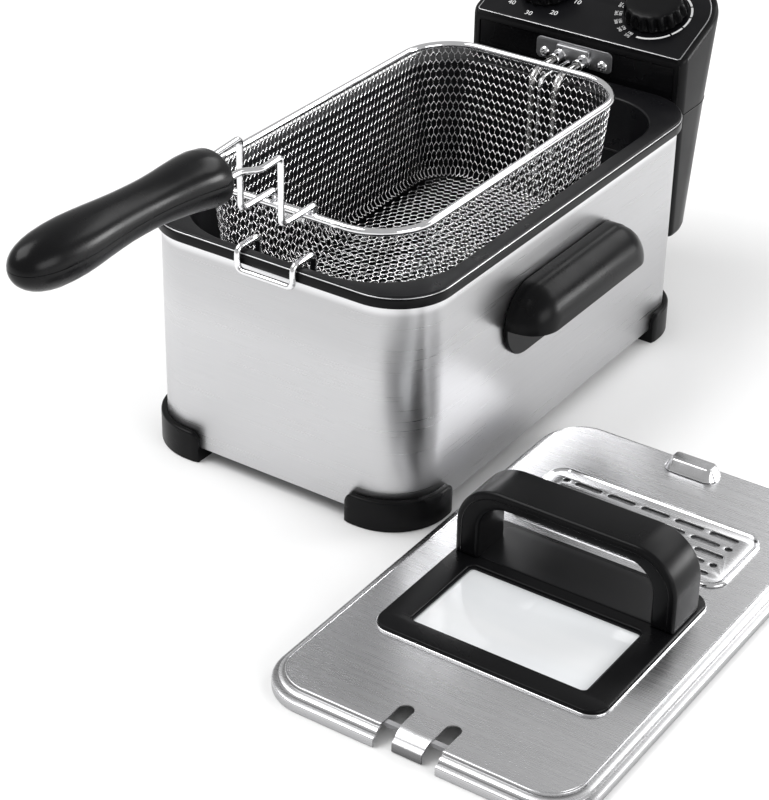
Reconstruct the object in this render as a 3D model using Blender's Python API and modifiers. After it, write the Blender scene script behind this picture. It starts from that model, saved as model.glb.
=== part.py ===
"""Household deep fryer: a steel body on four feet with a lift-out pot, a wire basket drained on the
pot's rim with a folding handle, a lift-off control head that carries the heating element, and the
lid laid on the table beside it. Metres, +Z up, -Y the basket handle's end, origin on the table."""

import math
from collections import namedtuple

import bmesh
import bpy

# --- driving dimensions -----------------------------------------------------------------------
GAP = 0.0003
BODY_WIDTH = 0.215
BODY_LENGTH = 0.3686
BODY_RADIUS = 0.0376
SHEET = 0.0010
STEEL_LOW = 0.010
STEEL_HIGH = 0.1662

RIM_OVERHANG = 0.0030
RIM_LOW = 0.1633
RIM_HIGH = 0.1697
FLANGE_TOP = 0.1720
POT_WALL = 0.0010
POT_FLOOR = 0.0240

FOOT_LEG = 0.052
FOOT_HEIGHT = 0.0225
FOOT_PROUD = 0.0045
BASE_PANEL_LOW = 0.0030

SIDE_HANDLE_HALF = 0.0765
SIDE_HANDLE_LOW = 0.0800
SIDE_HANDLE_HIGH = 0.1337
SIDE_HANDLE_REACH = 0.1375
SIDE_HANDLE_LIP = 0.1070

HEAD_FRONT = 0.1930
HEAD_REAR = 0.2730
HEAD_LEAN = 0.16
HEAD_HALF = 0.0905
HEAD_LOW = 0.0560
HEAD_TOP_FRONT = 0.1988
HEAD_SLOPE = math.radians(22)
HEAD_WALL = 0.0025
PANEL_HALF = 0.0850
KNOB_X = 0.0455
KNOB_V = 0.0410
POWER_LAMP_V = 0.0540
HEAT_LAMP_V = 0.0680
LAMP_RADIUS = 0.0034
KNOB_RADIUS = 0.0240
KNOB_HEIGHT = 0.0140

TUBE_RADIUS = 0.0032
TUBE_X = 0.0100
TUBE_Z = 0.1805
TUBE_DROP_Y = 0.1500
ELEMENT_Z = 0.0350

BASKET_HALF = 0.0816
BASKET_FRONT = -0.1640
BASKET_REAR = 0.1310
BASKET_RADIUS = 0.0400
BASKET_RIM_Z = 0.1980
BASKET_FLOOR_Z = 0.0980
BASKET_TAPER = 0.0090
BASKET_SKIN = 0.0012
WIRE = 0.0022
PIVOT_Y = -0.1580
PIVOT_Z = 0.1930
GRIP_AXIS_Z = 0.2518
GRIP_WIRE_Z = 0.2545
GRIP_WIRE_X = 0.0105

LID_X = 0.2255
LID_FRONT = -0.3665
LID_HALF = 0.1080
LID_LENGTH = 0.3660
LID_HEIGHT = 0.0120
LID_RADIUS = 0.0330
LID_STEP = 0.0085
LID_SHEET = 0.0010

# name: linear colour, roughness, metallic
FINISHES = {
    "brushed_steel": ((0.56, 0.56, 0.57), 0.32, 1.0),
    "chrome": ((0.78, 0.78, 0.80), 0.10, 1.0),
    "black_plastic": ((0.012, 0.012, 0.013), 0.35, 0.0),
    "black_gloss": ((0.010, 0.010, 0.011), 0.15, 0.0),
    "black_enamel": ((0.014, 0.014, 0.015), 0.30, 0.0),
    "dark_steel": ((0.10, 0.10, 0.105), 0.45, 1.0),
    "silver_trim": ((0.60, 0.60, 0.61), 0.30, 1.0),
    "white_plastic": ((0.75, 0.74, 0.71), 0.45, 0.0),
    "red_lens": ((0.60, 0.02, 0.02), 0.15, 0.0),
    "green_lens": ((0.05, 0.45, 0.08), 0.15, 0.0),
    "window_glass": ((0.75, 0.80, 0.80), 0.05, 0.0),
    "silicone": ((0.30, 0.30, 0.31), 0.70, 0.0),
    "filter_foam": ((0.04, 0.04, 0.04), 0.95, 0.0),
}


class Outline(namedtuple("Outline", "half front rear front_radius rear_radius")):
    """A rounded rectangle seen from above, symmetric about X = 0."""

    def grown(self, by):
        return Outline(
            self.half + by, self.front - by, self.rear + by, self.front_radius + by, self.rear_radius + by
        )

    def points(self, steps=7):
        """Counter-clockwise from the front-right corner, steps + 1 points on each corner."""
        corners = (
            (1, self.front + self.front_radius, self.front_radius, -90),
            (1, self.rear - self.rear_radius, self.rear_radius, 0),
            (-1, self.rear - self.rear_radius, self.rear_radius, 90),
            (-1, self.front + self.front_radius, self.front_radius, 180),
        )
        found = []
        for side, centre_y, radius, start in corners:
            centre_x = side * (self.half - radius)
            for step in range(steps + 1):
                angle = math.radians(start + 90 * step / steps)
                found.append((centre_x + radius * math.cos(angle), centre_y + radius * math.sin(angle)))
        return found


BODY = Outline(BODY_WIDTH / 2, -BODY_LENGTH / 2, BODY_LENGTH / 2, BODY_RADIUS, BODY_RADIUS)
POT_MOUTH = Outline(0.0985, -0.1805, 0.1640, 0.0600, 0.0480)
HEAD_MOUTH = Outline(PANEL_HALF + 0.0012, HEAD_FRONT + 0.0004, HEAD_REAR - 0.0050, 0.0030, 0.0350)
BASKET = Outline(BASKET_HALF, BASKET_FRONT, BASKET_REAR, BASKET_RADIUS, BASKET_RADIUS)
LID = Outline(LID_HALF, 0, LID_LENGTH, LID_RADIUS, LID_RADIUS)


# --- scene helpers ----------------------------------------------------------------------------
def clear_scene():
    for obj in list(bpy.data.objects):
        bpy.data.objects.remove(obj)


def new_collection(name):
    collection = bpy.data.collections.new(name)
    bpy.context.scene.collection.children.link(collection)
    return collection


def material(name):
    """The named finish as a Principled material, made once."""
    if name in bpy.data.materials:
        return bpy.data.materials[name]
    colour, roughness, metallic = FINISHES[name]
    made = bpy.data.materials.new(name)
    made.use_nodes = True
    shader = made.node_tree.nodes["Principled BSDF"]
    shader.inputs["Base Color"].default_value = (*colour, 1)
    shader.inputs["Roughness"].default_value = roughness
    shader.inputs["Metallic"].default_value = metallic
    return made


def add_object(name, data, finish, collection):
    obj = bpy.data.objects.new(name, data)
    collection.objects.link(obj)
    if finish:
        data.materials.append(material(finish))
    return obj


def mesh_object(name, bm, finish, collection, smooth=True):
    """An object from a bmesh, its faces turned outwards and its round faces shaded smooth."""
    bmesh.ops.recalc_face_normals(bm, faces=bm.faces)
    mesh = bpy.data.meshes.new(name)
    bm.to_mesh(mesh)
    bm.free()
    if smooth:
        mesh.shade_smooth()
        mesh.set_sharp_from_angle(angle=math.radians(35))
    return add_object(name, mesh, finish, collection)


def loft(name, rings, finish, collection, closed=False):
    """A solid through rings of equal length: capped at both ends, or joined end to start when closed."""
    bm = bmesh.new()
    loops = [[bm.verts.new(point) for point in ring] for ring in rings]
    pairs = list(zip(loops, loops[1:]))
    if closed:
        pairs.append((loops[-1], loops[0]))
    for low, high in pairs:
        for index, vert in enumerate(low):
            following = (index + 1) % len(low)
            bm.faces.new((vert, low[following], high[following], high[index]))
    if not closed:
        bm.faces.new(loops[0])
        bm.faces.new(loops[-1])
    return mesh_object(name, bm, finish, collection)


def level(outline, z, steps=7):
    return [(x, y, z) for x, y in outline.points(steps)]


def band(name, outer, inner, low, high, finish, collection):
    """A frame of constant height between two outlines."""
    rings = (level(outer, low), level(outer, high), level(inner, high), level(inner, low))
    return loft(name, rings, finish, collection, closed=True)


def box(name, low, high, finish, collection, bevel=0.0):
    """A box between two corners, with rounded edges where a bevel is given."""
    bm = bmesh.new()
    bmesh.ops.create_cube(bm, size=1)
    for vert in bm.verts:
        vert.co = [a + (b - a) * (c + 0.5) for a, b, c in zip(low, high, vert.co)]
    obj = mesh_object(name, bm, finish, collection)
    if bevel:
        modifier = obj.modifiers.new("rounding", "BEVEL")
        modifier.width = bevel
        modifier.segments = 2
    return obj


def cylinder(name, start, direction, radius, length, finish, collection, segments=24):
    """A round bar from start along one of the axes X, Y or Z."""
    bm = bmesh.new()
    bmesh.ops.create_cone(
        bm, cap_ends=True, segments=segments, radius1=radius, radius2=radius, depth=length
    )
    bmesh.ops.translate(bm, vec=(0, 0, length / 2), verts=bm.verts)
    obj = mesh_object(name, bm, finish, collection)
    turns = {"X": (0, math.pi / 2, 0), "Y": (-math.pi / 2, 0, 0), "Z": (0, 0, 0)}
    obj.rotation_euler = turns[direction]
    obj.location = start
    return obj


def turned(name, profile, finish, collection, steps=24):
    """A turned piece about Z from (radius, z) points running down its outer side."""
    mesh = bpy.data.meshes.new(name)
    edges = [(index, index + 1) for index in range(len(profile) - 1)]
    mesh.from_pydata([(radius, 0, z) for radius, z in profile], edges, [])
    obj = add_object(name, mesh, finish, collection)
    screw = obj.modifiers.new("turn", "SCREW")
    screw.steps = steps
    screw.render_steps = steps
    screw.use_merge_vertices = True
    screw.merge_threshold = 0.00005
    return obj


def flat_shape(name, loops, thickness, finish, collection):
    """A flat plate from closed outlines in its own XY plane, the first outer and the others holes."""
    curve = bpy.data.curves.new(name, "CURVE")
    curve.dimensions = "2D"
    curve.fill_mode = "BOTH"
    curve.extrude = thickness / 2
    for loop in loops:
        spline = curve.splines.new("POLY")
        spline.points.add(len(loop) - 1)
        for point, (x, y) in zip(spline.points, loop):
            point.co = (x, y, 0, 1)
        spline.use_cyclic_u = True
    return add_object(name, curve, finish, collection)


def wire(name, points, radius, finish, collection, cyclic=False):
    curve = bpy.data.curves.new(name, "CURVE")
    curve.dimensions = "3D"
    curve.bevel_depth = radius
    curve.bevel_resolution = 2
    curve.use_fill_caps = True
    spline = curve.splines.new("POLY")
    spline.points.add(len(points) - 1)
    for point, place in zip(spline.points, points):
        point.co = (*place, 1)
    spline.use_cyclic_u = cyclic
    return add_object(name, curve, finish, collection)


def bent(corners, radius, steps=4):
    """A path through corner points with each inner corner rounded by an arc-like blend."""
    path = [corners[0]]
    for before, corner, after in zip(corners, corners[1:], corners[2:]):
        arms = []
        for end in (before, after):
            arm = [e - c for e, c in zip(end, corner)]
            length = math.dist(end, corner)
            reach = min(radius, 0.48 * length)
            arms.append([c + a * reach / length for a, c in zip(arm, corner)])
        for step in range(steps + 1):
            t = step / steps
            weights = ((1 - t) ** 2, 2 * t * (1 - t), t**2)
            path.append(
                tuple(sum(w * p for w, p in zip(weights, axis)) for axis in zip(arms[0], corner, arms[1]))
            )
    path.append(corners[-1])
    return path


def cut(target, cutter, operation="DIFFERENCE"):
    """Cuts one object with another, or joins it on, and keeps the second as a hidden helper."""
    cutter.hide_render = True
    cutter.display_type = "WIRE"
    modifier = target.modifiers.new(cutter.name, "BOOLEAN")
    modifier.operation = operation
    modifier.object = cutter
    modifier.solver = "EXACT"


def circle(x, y, radius, count=16):
    turn = 2 * math.pi / count
    return [(x + radius * math.cos(turn * i), y + radius * math.sin(turn * i)) for i in range(count)]


# --- body -------------------------------------------------------------------------------------
def housing_shell(parts):
    inner = BODY.grown(-SHEET)
    band("housing_shell", BODY, inner, STEEL_LOW, STEEL_HIGH, "brushed_steel", parts)


def base_plate(parts):
    """The bottom tray, with a pressed centre panel whose flat underside stands just off the table."""
    panel = Outline(0.0700, -0.1400, 0.1400, 0.0200, 0.0200)
    sheet = 0.0012
    tray_low = STEEL_LOW + 0.0003
    tray_high = 0.0200
    slope = 0.0060
    edge = BODY.grown(-SHEET - 2 * GAP)
    rings = (
        level(panel, BASE_PANEL_LOW),
        level(panel.grown(slope), tray_low),
        level(edge, tray_low),
        level(edge, tray_high),
        level(edge.grown(-sheet), tray_high),
        level(edge.grown(-sheet), tray_low + sheet),
        level(panel.grown(slope), tray_low + sheet),
        level(panel, BASE_PANEL_LOW + sheet),
    )
    loft("base_plate", rings, "dark_steel", parts)


def foot_rings():
    """Sections of the front-right foot, from its front end round the corner to its side end."""
    sole = -0.0120
    inside = 2 * GAP
    chamfer = 0.0010
    end_round = 0.0070
    under = STEEL_LOW - GAP
    corner_length = BODY_RADIUS * math.pi / 2
    straight = FOOT_LEG - BODY_RADIUS - FOOT_PROUD
    lead = [end_round * (1 - math.cos(math.pi / 6 * i)) for i in range(4)]
    stations = [(-straight + d, d) for d in lead]
    stations += [(corner_length * i / 8, 1) for i in range(9)]
    stations += [(corner_length + straight - d, d) for d in reversed(lead)]
    centre = (BODY.half - BODY_RADIUS, BODY.front + BODY_RADIUS)
    rings = []
    for along, from_end in stations:
        depth = min(max(end_round - from_end, 0), end_round)
        drop = end_round - math.sqrt(max(end_round**2 - depth**2, 0))
        top = FOOT_HEIGHT - drop
        section = (
            (sole, 0),
            (FOOT_PROUD, 0),
            (FOOT_PROUD, top - chamfer),
            (FOOT_PROUD - chamfer, top),
            (inside, top),
            (inside, under),
            (sole, under),
        )
        angle = min(max(along / corner_length, 0), 1) * math.pi / 2
        over = max(along - corner_length, 0) + min(along, 0)
        ring = []
        for offset, z in section:
            radius = BODY_RADIUS + offset
            x = centre[0] + radius * math.sin(angle)
            y = centre[1] - radius * math.cos(angle)
            if over < 0:
                x += over
            else:
                y += over
            ring.append((x, y, z))
        rings.append(ring)
    return rings


def feet(parts):
    for name, side, end in (
        ("foot_front_right", 1, 1),
        ("foot_front_left", -1, 1),
        ("foot_rear_right", 1, -1),
        ("foot_rear_left", -1, -1),
    ):
        rings = [[(side * x, end * y, z) for x, y, z in ring] for ring in foot_rings()]
        loft(name, rings, "black_plastic", parts)


def top_rim(parts):
    """A moulded channel that caps the steel's upper edge."""
    outer = BODY.grown(RIM_OVERHANG)
    inner = BODY.grown(-SHEET - GAP)
    web_low = STEEL_HIGH + GAP
    rings = (
        level(outer, RIM_LOW),
        level(outer, RIM_HIGH),
        level(inner, RIM_HIGH),
        level(inner, web_low),
        level(BODY.grown(GAP), web_low),
        level(BODY.grown(GAP), RIM_LOW),
    )
    loft("top_rim", rings, "black_plastic", parts, closed=True)


def oil_pot(parts):
    """The lift-out pot: a flange on the rim and a drafted well below it."""
    flange_low = RIM_HIGH + GAP
    edge = BODY.grown(RIM_OVERHANG - 0.0005)
    draft = 0.0080
    floor_round = 0.0120
    foot = POT_MOUTH.grown(-draft)
    rings = (
        level(foot.grown(-floor_round), POT_FLOOR + POT_WALL),
        level(foot.grown(-0.3 * floor_round), POT_FLOOR + POT_WALL + 0.3 * floor_round),
        level(foot, POT_FLOOR + floor_round),
        level(POT_MOUTH.grown(-0.0008), FLANGE_TOP - 0.0025),
        level(POT_MOUTH, FLANGE_TOP),
        level(edge.grown(-0.0006), FLANGE_TOP),
        level(edge, FLANGE_TOP - 0.0006),
        level(edge, flange_low),
        level(POT_MOUTH.grown(POT_WALL), flange_low),
        level(foot.grown(POT_WALL), POT_FLOOR + floor_round),
        level(foot.grown(POT_WALL - 0.3 * floor_round), POT_FLOOR + 0.3 * floor_round),
        level(foot.grown(POT_WALL - floor_round), POT_FLOOR),
    )
    loft("oil_pot", rings, "black_enamel", parts)


def stadium(grown, x, steps=8):
    """The side handle's rounded outline in the YZ plane at X = x, grown outwards."""
    radius = (SIDE_HANDLE_HIGH - SIDE_HANDLE_LOW) / 2
    centre_z = (SIDE_HANDLE_HIGH + SIDE_HANDLE_LOW) / 2
    centre_y = SIDE_HANDLE_HALF - radius
    points = []
    for side, start in ((1, -90), (-1, 90)):
        for step in range(steps + 1):
            angle = math.radians(start + 180 * step / steps)
            y = side * centre_y + (radius + grown) * math.cos(angle)
            points.append((x, y, centre_z + (radius + grown) * math.sin(angle)))
    return points


def hood_rings(grown, base, reach):
    """Rings of a hood that rises from its outline and rolls over to a flat crown."""
    roll = 0.0200
    rings = [stadium(grown, base), stadium(grown, reach - roll)]
    for step in range(1, 5):
        angle = math.pi / 2 * step / 4.4
        rings.append(stadium(grown - roll * (1 - math.cos(angle)), reach - roll * (1 - math.sin(angle))))
    return rings


def mirrored(rings, side):
    """The rings as they are on the right (side 1), or in the mirror on the left (side -1)."""
    return [[(side * x, y, z) for x, y, z in ring] for ring in rings]


def side_handles(parts, cutters):
    """A backing plate on the steel and a hood over it, open below for the fingers."""
    inner_face = BODY.half + GAP
    plate_face = inner_face + 0.0030
    wall = 0.0028
    for name, side in (("side_handle_right", 1), ("side_handle_left", -1)):
        inner = hood_rings(-wall, plate_face - 0.0010, SIDE_HANDLE_REACH - wall)
        outer = hood_rings(0, plate_face - 0.0010, SIDE_HANDLE_REACH)
        hood = loft(name, mirrored(list(reversed(inner)) + outer, side), "black_plastic", parts)
        below = box(
            name + "_mouth",
            (side * (plate_face + 0.0300) - 0.0300, -0.1, SIDE_HANDLE_LOW - 0.02),
            (side * (plate_face + 0.0300) + 0.0300, 0.1, SIDE_HANDLE_LIP),
            None,
            cutters,
        )
        cut(hood, below)
        plate_rings = mirrored([stadium(0, inner_face), stadium(0, plate_face)], side)
        plate = loft(name + "_plate", plate_rings, None, cutters)
        cut(hood, plate, "UNION")


def guide_rail(parts, cutters):
    """The rail on the body's rear that guides the control head, with the ledge that carries it."""
    face = BODY.rear + GAP
    rail = box("guide_rail", (-0.0200, face, 0.0640), (0.0200, 0.1900, 0.1500), "black_plastic", parts)
    ledge = box("guide_ledge", (-0.0280, face, 0.0590), (0.0280, 0.1925, 0.0695), None, cutters)
    cut(rail, ledge, "UNION")


# --- control head -----------------------------------------------------------------------------
def head_top(y, below=0.0):
    return HEAD_TOP_FRONT + (y - HEAD_FRONT) * math.tan(HEAD_SLOPE) - below


def tilted(outline, below, steps=7):
    return [(x, y, head_top(y, below)) for x, y in outline.points(steps)]


def head_outline(z):
    """The head's plan at a height: its rear leans forward towards the bottom."""
    top = head_top(HEAD_REAR)
    return Outline(HEAD_HALF, HEAD_FRONT, HEAD_REAR - (top - z) * HEAD_LEAN, 0.0070, 0.0400)


def head_housing(parts, cutters):
    """The moulded tub: front, sides, back and floor, with tilted shoulders round the top panel."""
    waist = 0.1560
    low, high, top = head_outline(HEAD_LOW), head_outline(waist), head_outline(head_top(HEAD_REAR))
    floor = HEAD_LOW + HEAD_WALL
    shoulder = top.grown(-0.0015)._replace(front=HEAD_FRONT)
    rings = (
        level(low.grown(-0.0060), floor),
        level(low.grown(-HEAD_WALL), floor + 0.0030),
        level(high.grown(-HEAD_WALL), waist),
        tilted(top.grown(-HEAD_WALL), 0.0090),
        tilted(HEAD_MOUTH.grown(-0.0026), 0.0038),
        tilted(HEAD_MOUTH, 0.0034),
        tilted(HEAD_MOUTH, 0.0),
        tilted(HEAD_MOUTH.grown(0.0003), 0.0),
        tilted(shoulder, 0.0014),
        tilted(top, 0.0055),
        level(high, waist),
        level(low, HEAD_LOW + 0.0030),
        level(low.grown(-0.0030), HEAD_LOW),
    )
    shell = loft("head_housing", rings, "black_plastic", parts)
    opening = box("head_window", (-0.0825, 0.18, 0.0640), (0.0825, 0.1965, 0.1920), None, cutters)
    cut(shell, opening)
    gland_hole = cylinder("gland_hole", (-0.0350, 0.23, 0.0850), "Y", 0.0078, 0.04, None, cutters)
    cut(shell, gland_hole)
    reset_hole = cylinder("reset_hole", (0.0350, 0.23, 0.1000), "Y", 0.0046, 0.04, None, cutters)
    cut(shell, reset_hole)


def head_front_panel(parts):
    box("head_front_panel", (-0.0821, 0.1938, 0.0644), (0.0821, 0.1958, 0.1916), "black_plastic", parts)


def head_guide(parts, cutters):
    """The channel on the head's front that runs on the body's rail, its lips clear of the rim when lifted."""
    lip_top = 0.1170
    low, high = (-0.0280, 0.1904, 0.0700), (0.0280, 0.1934, 0.1500)
    web = box("head_guide", low, high, "black_plastic", parts)
    for side in (-1, 1):
        near, far = sorted((side * 0.0204, side * 0.0280))
        lip = box(f"guide_lip_{side}", (near, 0.1856, 0.0700), (far, 0.1915, lip_top), None, cutters)
        cut(web, lip, "UNION")


def on_panel(obj, x, v, above):
    """Places an object in the tilted frame of the top panel: v runs up the slope, above off it."""
    obj.rotation_euler = (HEAD_SLOPE, 0, 0)
    obj.location = (
        x,
        HEAD_FRONT + v * math.cos(HEAD_SLOPE) - above * math.sin(HEAD_SLOPE),
        HEAD_TOP_FRONT + v * math.sin(HEAD_SLOPE) + above * math.cos(HEAD_SLOPE),
    )


def panel_outline(inset):
    """The housing's mouth seen square to the panel, with room at the rear for the plate's thickness."""
    rear_room = 0.0012
    plan = HEAD_MOUTH._replace(rear=HEAD_MOUTH.rear - rear_room).grown(-GAP - inset)
    return [(x, (y - HEAD_FRONT) / math.cos(HEAD_SLOPE)) for x, y in plan.points()]


def top_panel(parts):
    """The control panel with its shaft and lamp holes, and the trim strip round it."""
    trim_width = 0.0008
    trim_thickness = 0.0020
    thickness = 0.0026
    trim = flat_shape(
        "panel_trim",
        (panel_outline(0), panel_outline(trim_width)),
        trim_thickness,
        "silver_trim",
        parts,
    )
    on_panel(trim, 0, 0, -trim_thickness / 2)
    holes = [circle(side * KNOB_X, KNOB_V, 0.0036) for side in (-1, 1)]
    holes += [circle(0, v, LAMP_RADIUS + 0.0004) for v in (POWER_LAMP_V, HEAT_LAMP_V)]
    panel = flat_shape(
        "head_top_panel",
        [panel_outline(trim_width + GAP)] + holes,
        thickness,
        "black_gloss",
        parts,
    )
    on_panel(panel, 0, 0, -thickness / 2)


def knob(name, x, parts):
    """A fluted knob on a stub shaft, its origin on the axis at the panel's face."""
    flutes = 18
    count = flutes * 5

    def ring(radius, z, depth=0.0):
        found = []
        for index in range(count):
            angle = 2 * math.pi * index / count
            reach = radius - depth * (0.5 + 0.5 * math.cos(flutes * angle))
            found.append((reach * math.cos(angle), reach * math.sin(angle), z))
        return found

    rings = (
        ring(0.0030, -0.0120),
        ring(0.0030, 0.0012),
        ring(KNOB_RADIUS - 0.0010, 0.0012, 0.0005),
        ring(KNOB_RADIUS, 0.0022, 0.0016),
        ring(KNOB_RADIUS - 0.0014, KNOB_HEIGHT - 0.0018, 0.0018),
        ring(KNOB_RADIUS - 0.0032, KNOB_HEIGHT, 0.0006),
    )
    on_panel(loft(name, rings, "black_plastic", parts), x, KNOB_V, 0)


def lamps(parts):
    """Domed lenses between the knobs: power in front, heat behind."""
    side = ((LAMP_RADIUS, 0.0004), (LAMP_RADIUS, -0.0080))
    profile = ((0.0, 0.0016), (0.0018, 0.0014), *side, (0.0, -0.0080))
    for name, v, finish in (
        ("power_light", POWER_LAMP_V, "red_lens"),
        ("heat_light", HEAT_LAMP_V, "green_lens"),
    ):
        on_panel(turned(name, profile, finish, parts, 16), 0, v, 0)


def element_bracket(parts, cutters):
    """The plate that carries the element, with a raised shroud and a ferrule for each tube."""
    face = 0.1922
    low, high = (-0.0320, face, 0.1755), (0.0320, 0.1935, 0.1905)
    plate = box("element_bracket", low, high, "brushed_steel", parts)
    low, high = (-0.0140, 0.1870, 0.1767), (0.0140, face + 0.0008, 0.1893)
    shroud = box("bracket_shroud", low, high, None, cutters)
    cut(plate, shroud, "UNION")
    for side in (-1, 1):
        start = (side * TUBE_X, 0.1806, TUBE_Z)
        ferrule = cylinder(f"ferrule_{side}", start, "Y", 0.0046, 0.0118, None, cutters)
        cut(plate, ferrule, "UNION")
        start = (side * 0.0245, 0.18, 0.1800)
        hole = cylinder(f"screw_hole_{side}", start, "Y", 0.0020, 0.03, None, cutters)
        cut(plate, hole)


def bracket_screws(parts):
    """Round-head screws that hold the bracket, their heads towards the basket."""
    profile = (
        (0.0, 0.0022),
        (0.0020, 0.0018),
        (0.0040, 0.0003),
        (0.0040, 0.0),
        (0.0016, 0.0),
        (0.0016, -0.0012),
        (0.0, -0.0012),
    )
    for name, side in (("bracket_screw_right", 1), ("bracket_screw_left", -1)):
        screw = turned(name, profile, "chrome", parts, 16)
        screw.rotation_euler = (math.pi / 2, 0, 0)
        screw.location = (side * 0.0245, 0.1919, 0.1800)


def heating_element(parts):
    """One tube: out of the bracket, down the pot's rear wall, and four runs along the floor."""
    start_y = 0.1803
    far, outer, middle, back = -0.1300, 0.0620, 0.0240, 0.0900
    half = (
        (TUBE_X, start_y, TUBE_Z),
        (TUBE_X, TUBE_DROP_Y, TUBE_Z),
        (TUBE_X, TUBE_DROP_Y, ELEMENT_Z),
        (TUBE_X, 0.1180, ELEMENT_Z),
        (outer, 0.1180, ELEMENT_Z),
        (outer, far, ELEMENT_Z),
        (middle, far, ELEMENT_Z),
        (middle, back, ELEMENT_Z),
    )
    corners = list(half) + [(-x, y, z) for x, y, z in reversed(half)]
    wire("heating_element", bent(corners, 0.0120, 4), TUBE_RADIUS, "dark_steel", parts)


def thermostat_sensor(parts):
    drop_y = 0.1440
    start = (0, 0.1846, 0.1800)
    corners = (start, (0, drop_y, 0.1800), (0, drop_y, 0.1103))
    wire("sensor_tube", bent(corners, 0.0080, 4), 0.0015, "chrome", parts)
    cylinder("sensor_bulb", (0, drop_y, 0.0480), "Z", 0.0034, 0.0620, "chrome", parts, 16)


def head_internals(parts):
    """The timer, thermostat, terminal block and switches inside the head."""
    for name, x in (("timer_body", -KNOB_X), ("thermostat_body", KNOB_X)):
        half, depth = 0.0180, 0.0200
        body = box(name, (-half, -half, -depth / 2), (half, half, depth / 2), "white_plastic", parts, 0.002)
        on_panel(body, x, KNOB_V, -0.0125 - depth / 2)
    box("terminal_block", (-0.0350, 0.2040, 0.0700), (-0.0050, 0.2180, 0.0820), "white_plastic", parts)
    box("interlock_switch", (0.0300, 0.1990, 0.1100), (0.0580, 0.2100, 0.1260), "black_plastic", parts)
    box("reset_switch", (0.0250, 0.2280, 0.0920), (0.0450, 0.2420, 0.1080), "black_plastic", parts)


def cord_gland(parts):
    """The mains lead's bush in the rear wall, open along its axis."""
    profile = (
        (0.0040, 0.0100),
        (0.0062, 0.0100),
        (0.0075, 0.0060),
        (0.0098, 0.0050),
        (0.0098, 0.0018),
        (0.0073, 0.0018),
        (0.0073, -0.0080),
        (0.0040, -0.0080),
        (0.0040, 0.0100),
    )
    gland = turned("cord_gland", profile, "black_plastic", parts, 20)
    gland.rotation_euler = (-math.pi / 2, 0, 0)
    gland.location = (-0.0350, head_outline(0.0850).rear, 0.0850)


def reset_button(parts):
    profile = ((0.0, 0.0030), (0.0036, 0.0030), (0.0041, 0.0024), (0.0041, -0.0060), (0.0, -0.0060))
    button = turned("reset_button", profile, "red_lens", parts, 16)
    button.rotation_euler = (-math.pi / 2, 0, 0)
    button.location = (0.0350, head_outline(0.1000).rear, 0.1000)


# --- basket and its handle --------------------------------------------------------------------
def basket(parts):
    """The basket's bowl as a thin skin, its rim wire and the drain hook over the pot's front rim."""
    top = BASKET_RIM_Z - WIRE - GAP
    low = BASKET.grown(-BASKET_TAPER)
    half_skin = BASKET_SKIN / 2
    rings = (
        level(low.grown(-0.0060 - half_skin), BASKET_FLOOR_Z + BASKET_SKIN),
        level(low.grown(-half_skin), BASKET_FLOOR_Z + 0.0070),
        level(BASKET.grown(-half_skin), top),
        level(BASKET.grown(half_skin), top),
        level(low.grown(half_skin), BASKET_FLOOR_Z + 0.0070),
        level(low.grown(-0.0060 + half_skin), BASKET_FLOOR_Z),
    )
    loft("basket_mesh", rings, "chrome", parts)
    wire("basket_rim", level(BASKET, BASKET_RIM_Z), WIRE, "chrome", parts, cyclic=True)
    x = 0.0215
    outside = BODY.front - RIM_OVERHANG - WIRE - 2 * GAP
    inside = -0.1680
    prong = (
        (x, -0.1627, 0.1480),
        (x, -0.1645, 0.1500),
        (x, inside, 0.1600),
        (x, inside, 0.1752),
        (x, outside, 0.1752),
        (x, outside, 0.1600),
    )
    corners = list(prong) + [(-x, y, z) for x, y, z in reversed(prong)]
    wire("drain_hook", bent(corners, 0.0050, 3), WIRE, "chrome", parts)


def handle_bracket(parts, cutters):
    """The lug inside the basket's front wall, bored for the two handle pins."""
    low = (-0.0105, BASKET_FRONT + 0.0019, PIVOT_Z - 0.0040)
    high = (0.0105, PIVOT_Y + 0.0040, PIVOT_Z + 0.0034)
    lug = box("handle_bracket", low, high, "dark_steel", parts)
    bore = cylinder("pin_bore", (-0.02, PIVOT_Y, PIVOT_Z), "X", WIRE + 0.0004, 0.04, None, cutters)
    cut(lug, bore)


def handle_wires(parts):
    """Each wire: pin in the lug, over the basket's rim, up, and back into the grip."""
    for name, side in (("handle_wire_right", 1), ("handle_wire_left", -1)):
        wide, narrow = side * 0.0155, side * GRIP_WIRE_X
        corners = (
            (side * 0.0040, PIVOT_Y, PIVOT_Z),
            (wide, PIVOT_Y, PIVOT_Z),
            (wide, PIVOT_Y, 0.2045),
            (wide, -0.1935, 0.2045),
            (wide, -0.1935, 0.2522),
            (narrow, -0.2360, GRIP_WIRE_Z),
            (narrow, -0.2700, GRIP_WIRE_Z),
        )
        wire(name, bent(corners, 0.0045, 3), WIRE, "chrome", parts)


# y, radius and rise of the grip's axis, from the wires' end to the rounded tip
GRIP_SECTIONS = (
    (-0.2408, 0.0170, -0.0014),
    (-0.2425, 0.0180, -0.0010),
    (-0.2540, 0.0181, 0.0011),
    (-0.2642, 0.0173, 0.0024),
    (-0.2848, 0.0155, 0.0036),
    (-0.3055, 0.0146, 0.0045),
    (-0.3261, 0.0150, 0.0051),
    (-0.3468, 0.0164, 0.0053),
    (-0.3674, 0.0178, 0.0052),
    (-0.3880, 0.0170, 0.0054),
    (-0.3990, 0.0146, 0.0058),
    (-0.4065, 0.0113, 0.0062),
    (-0.4110, 0.0074, 0.0064),
    (-0.4130, 0.0034, 0.0065),
)


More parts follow.
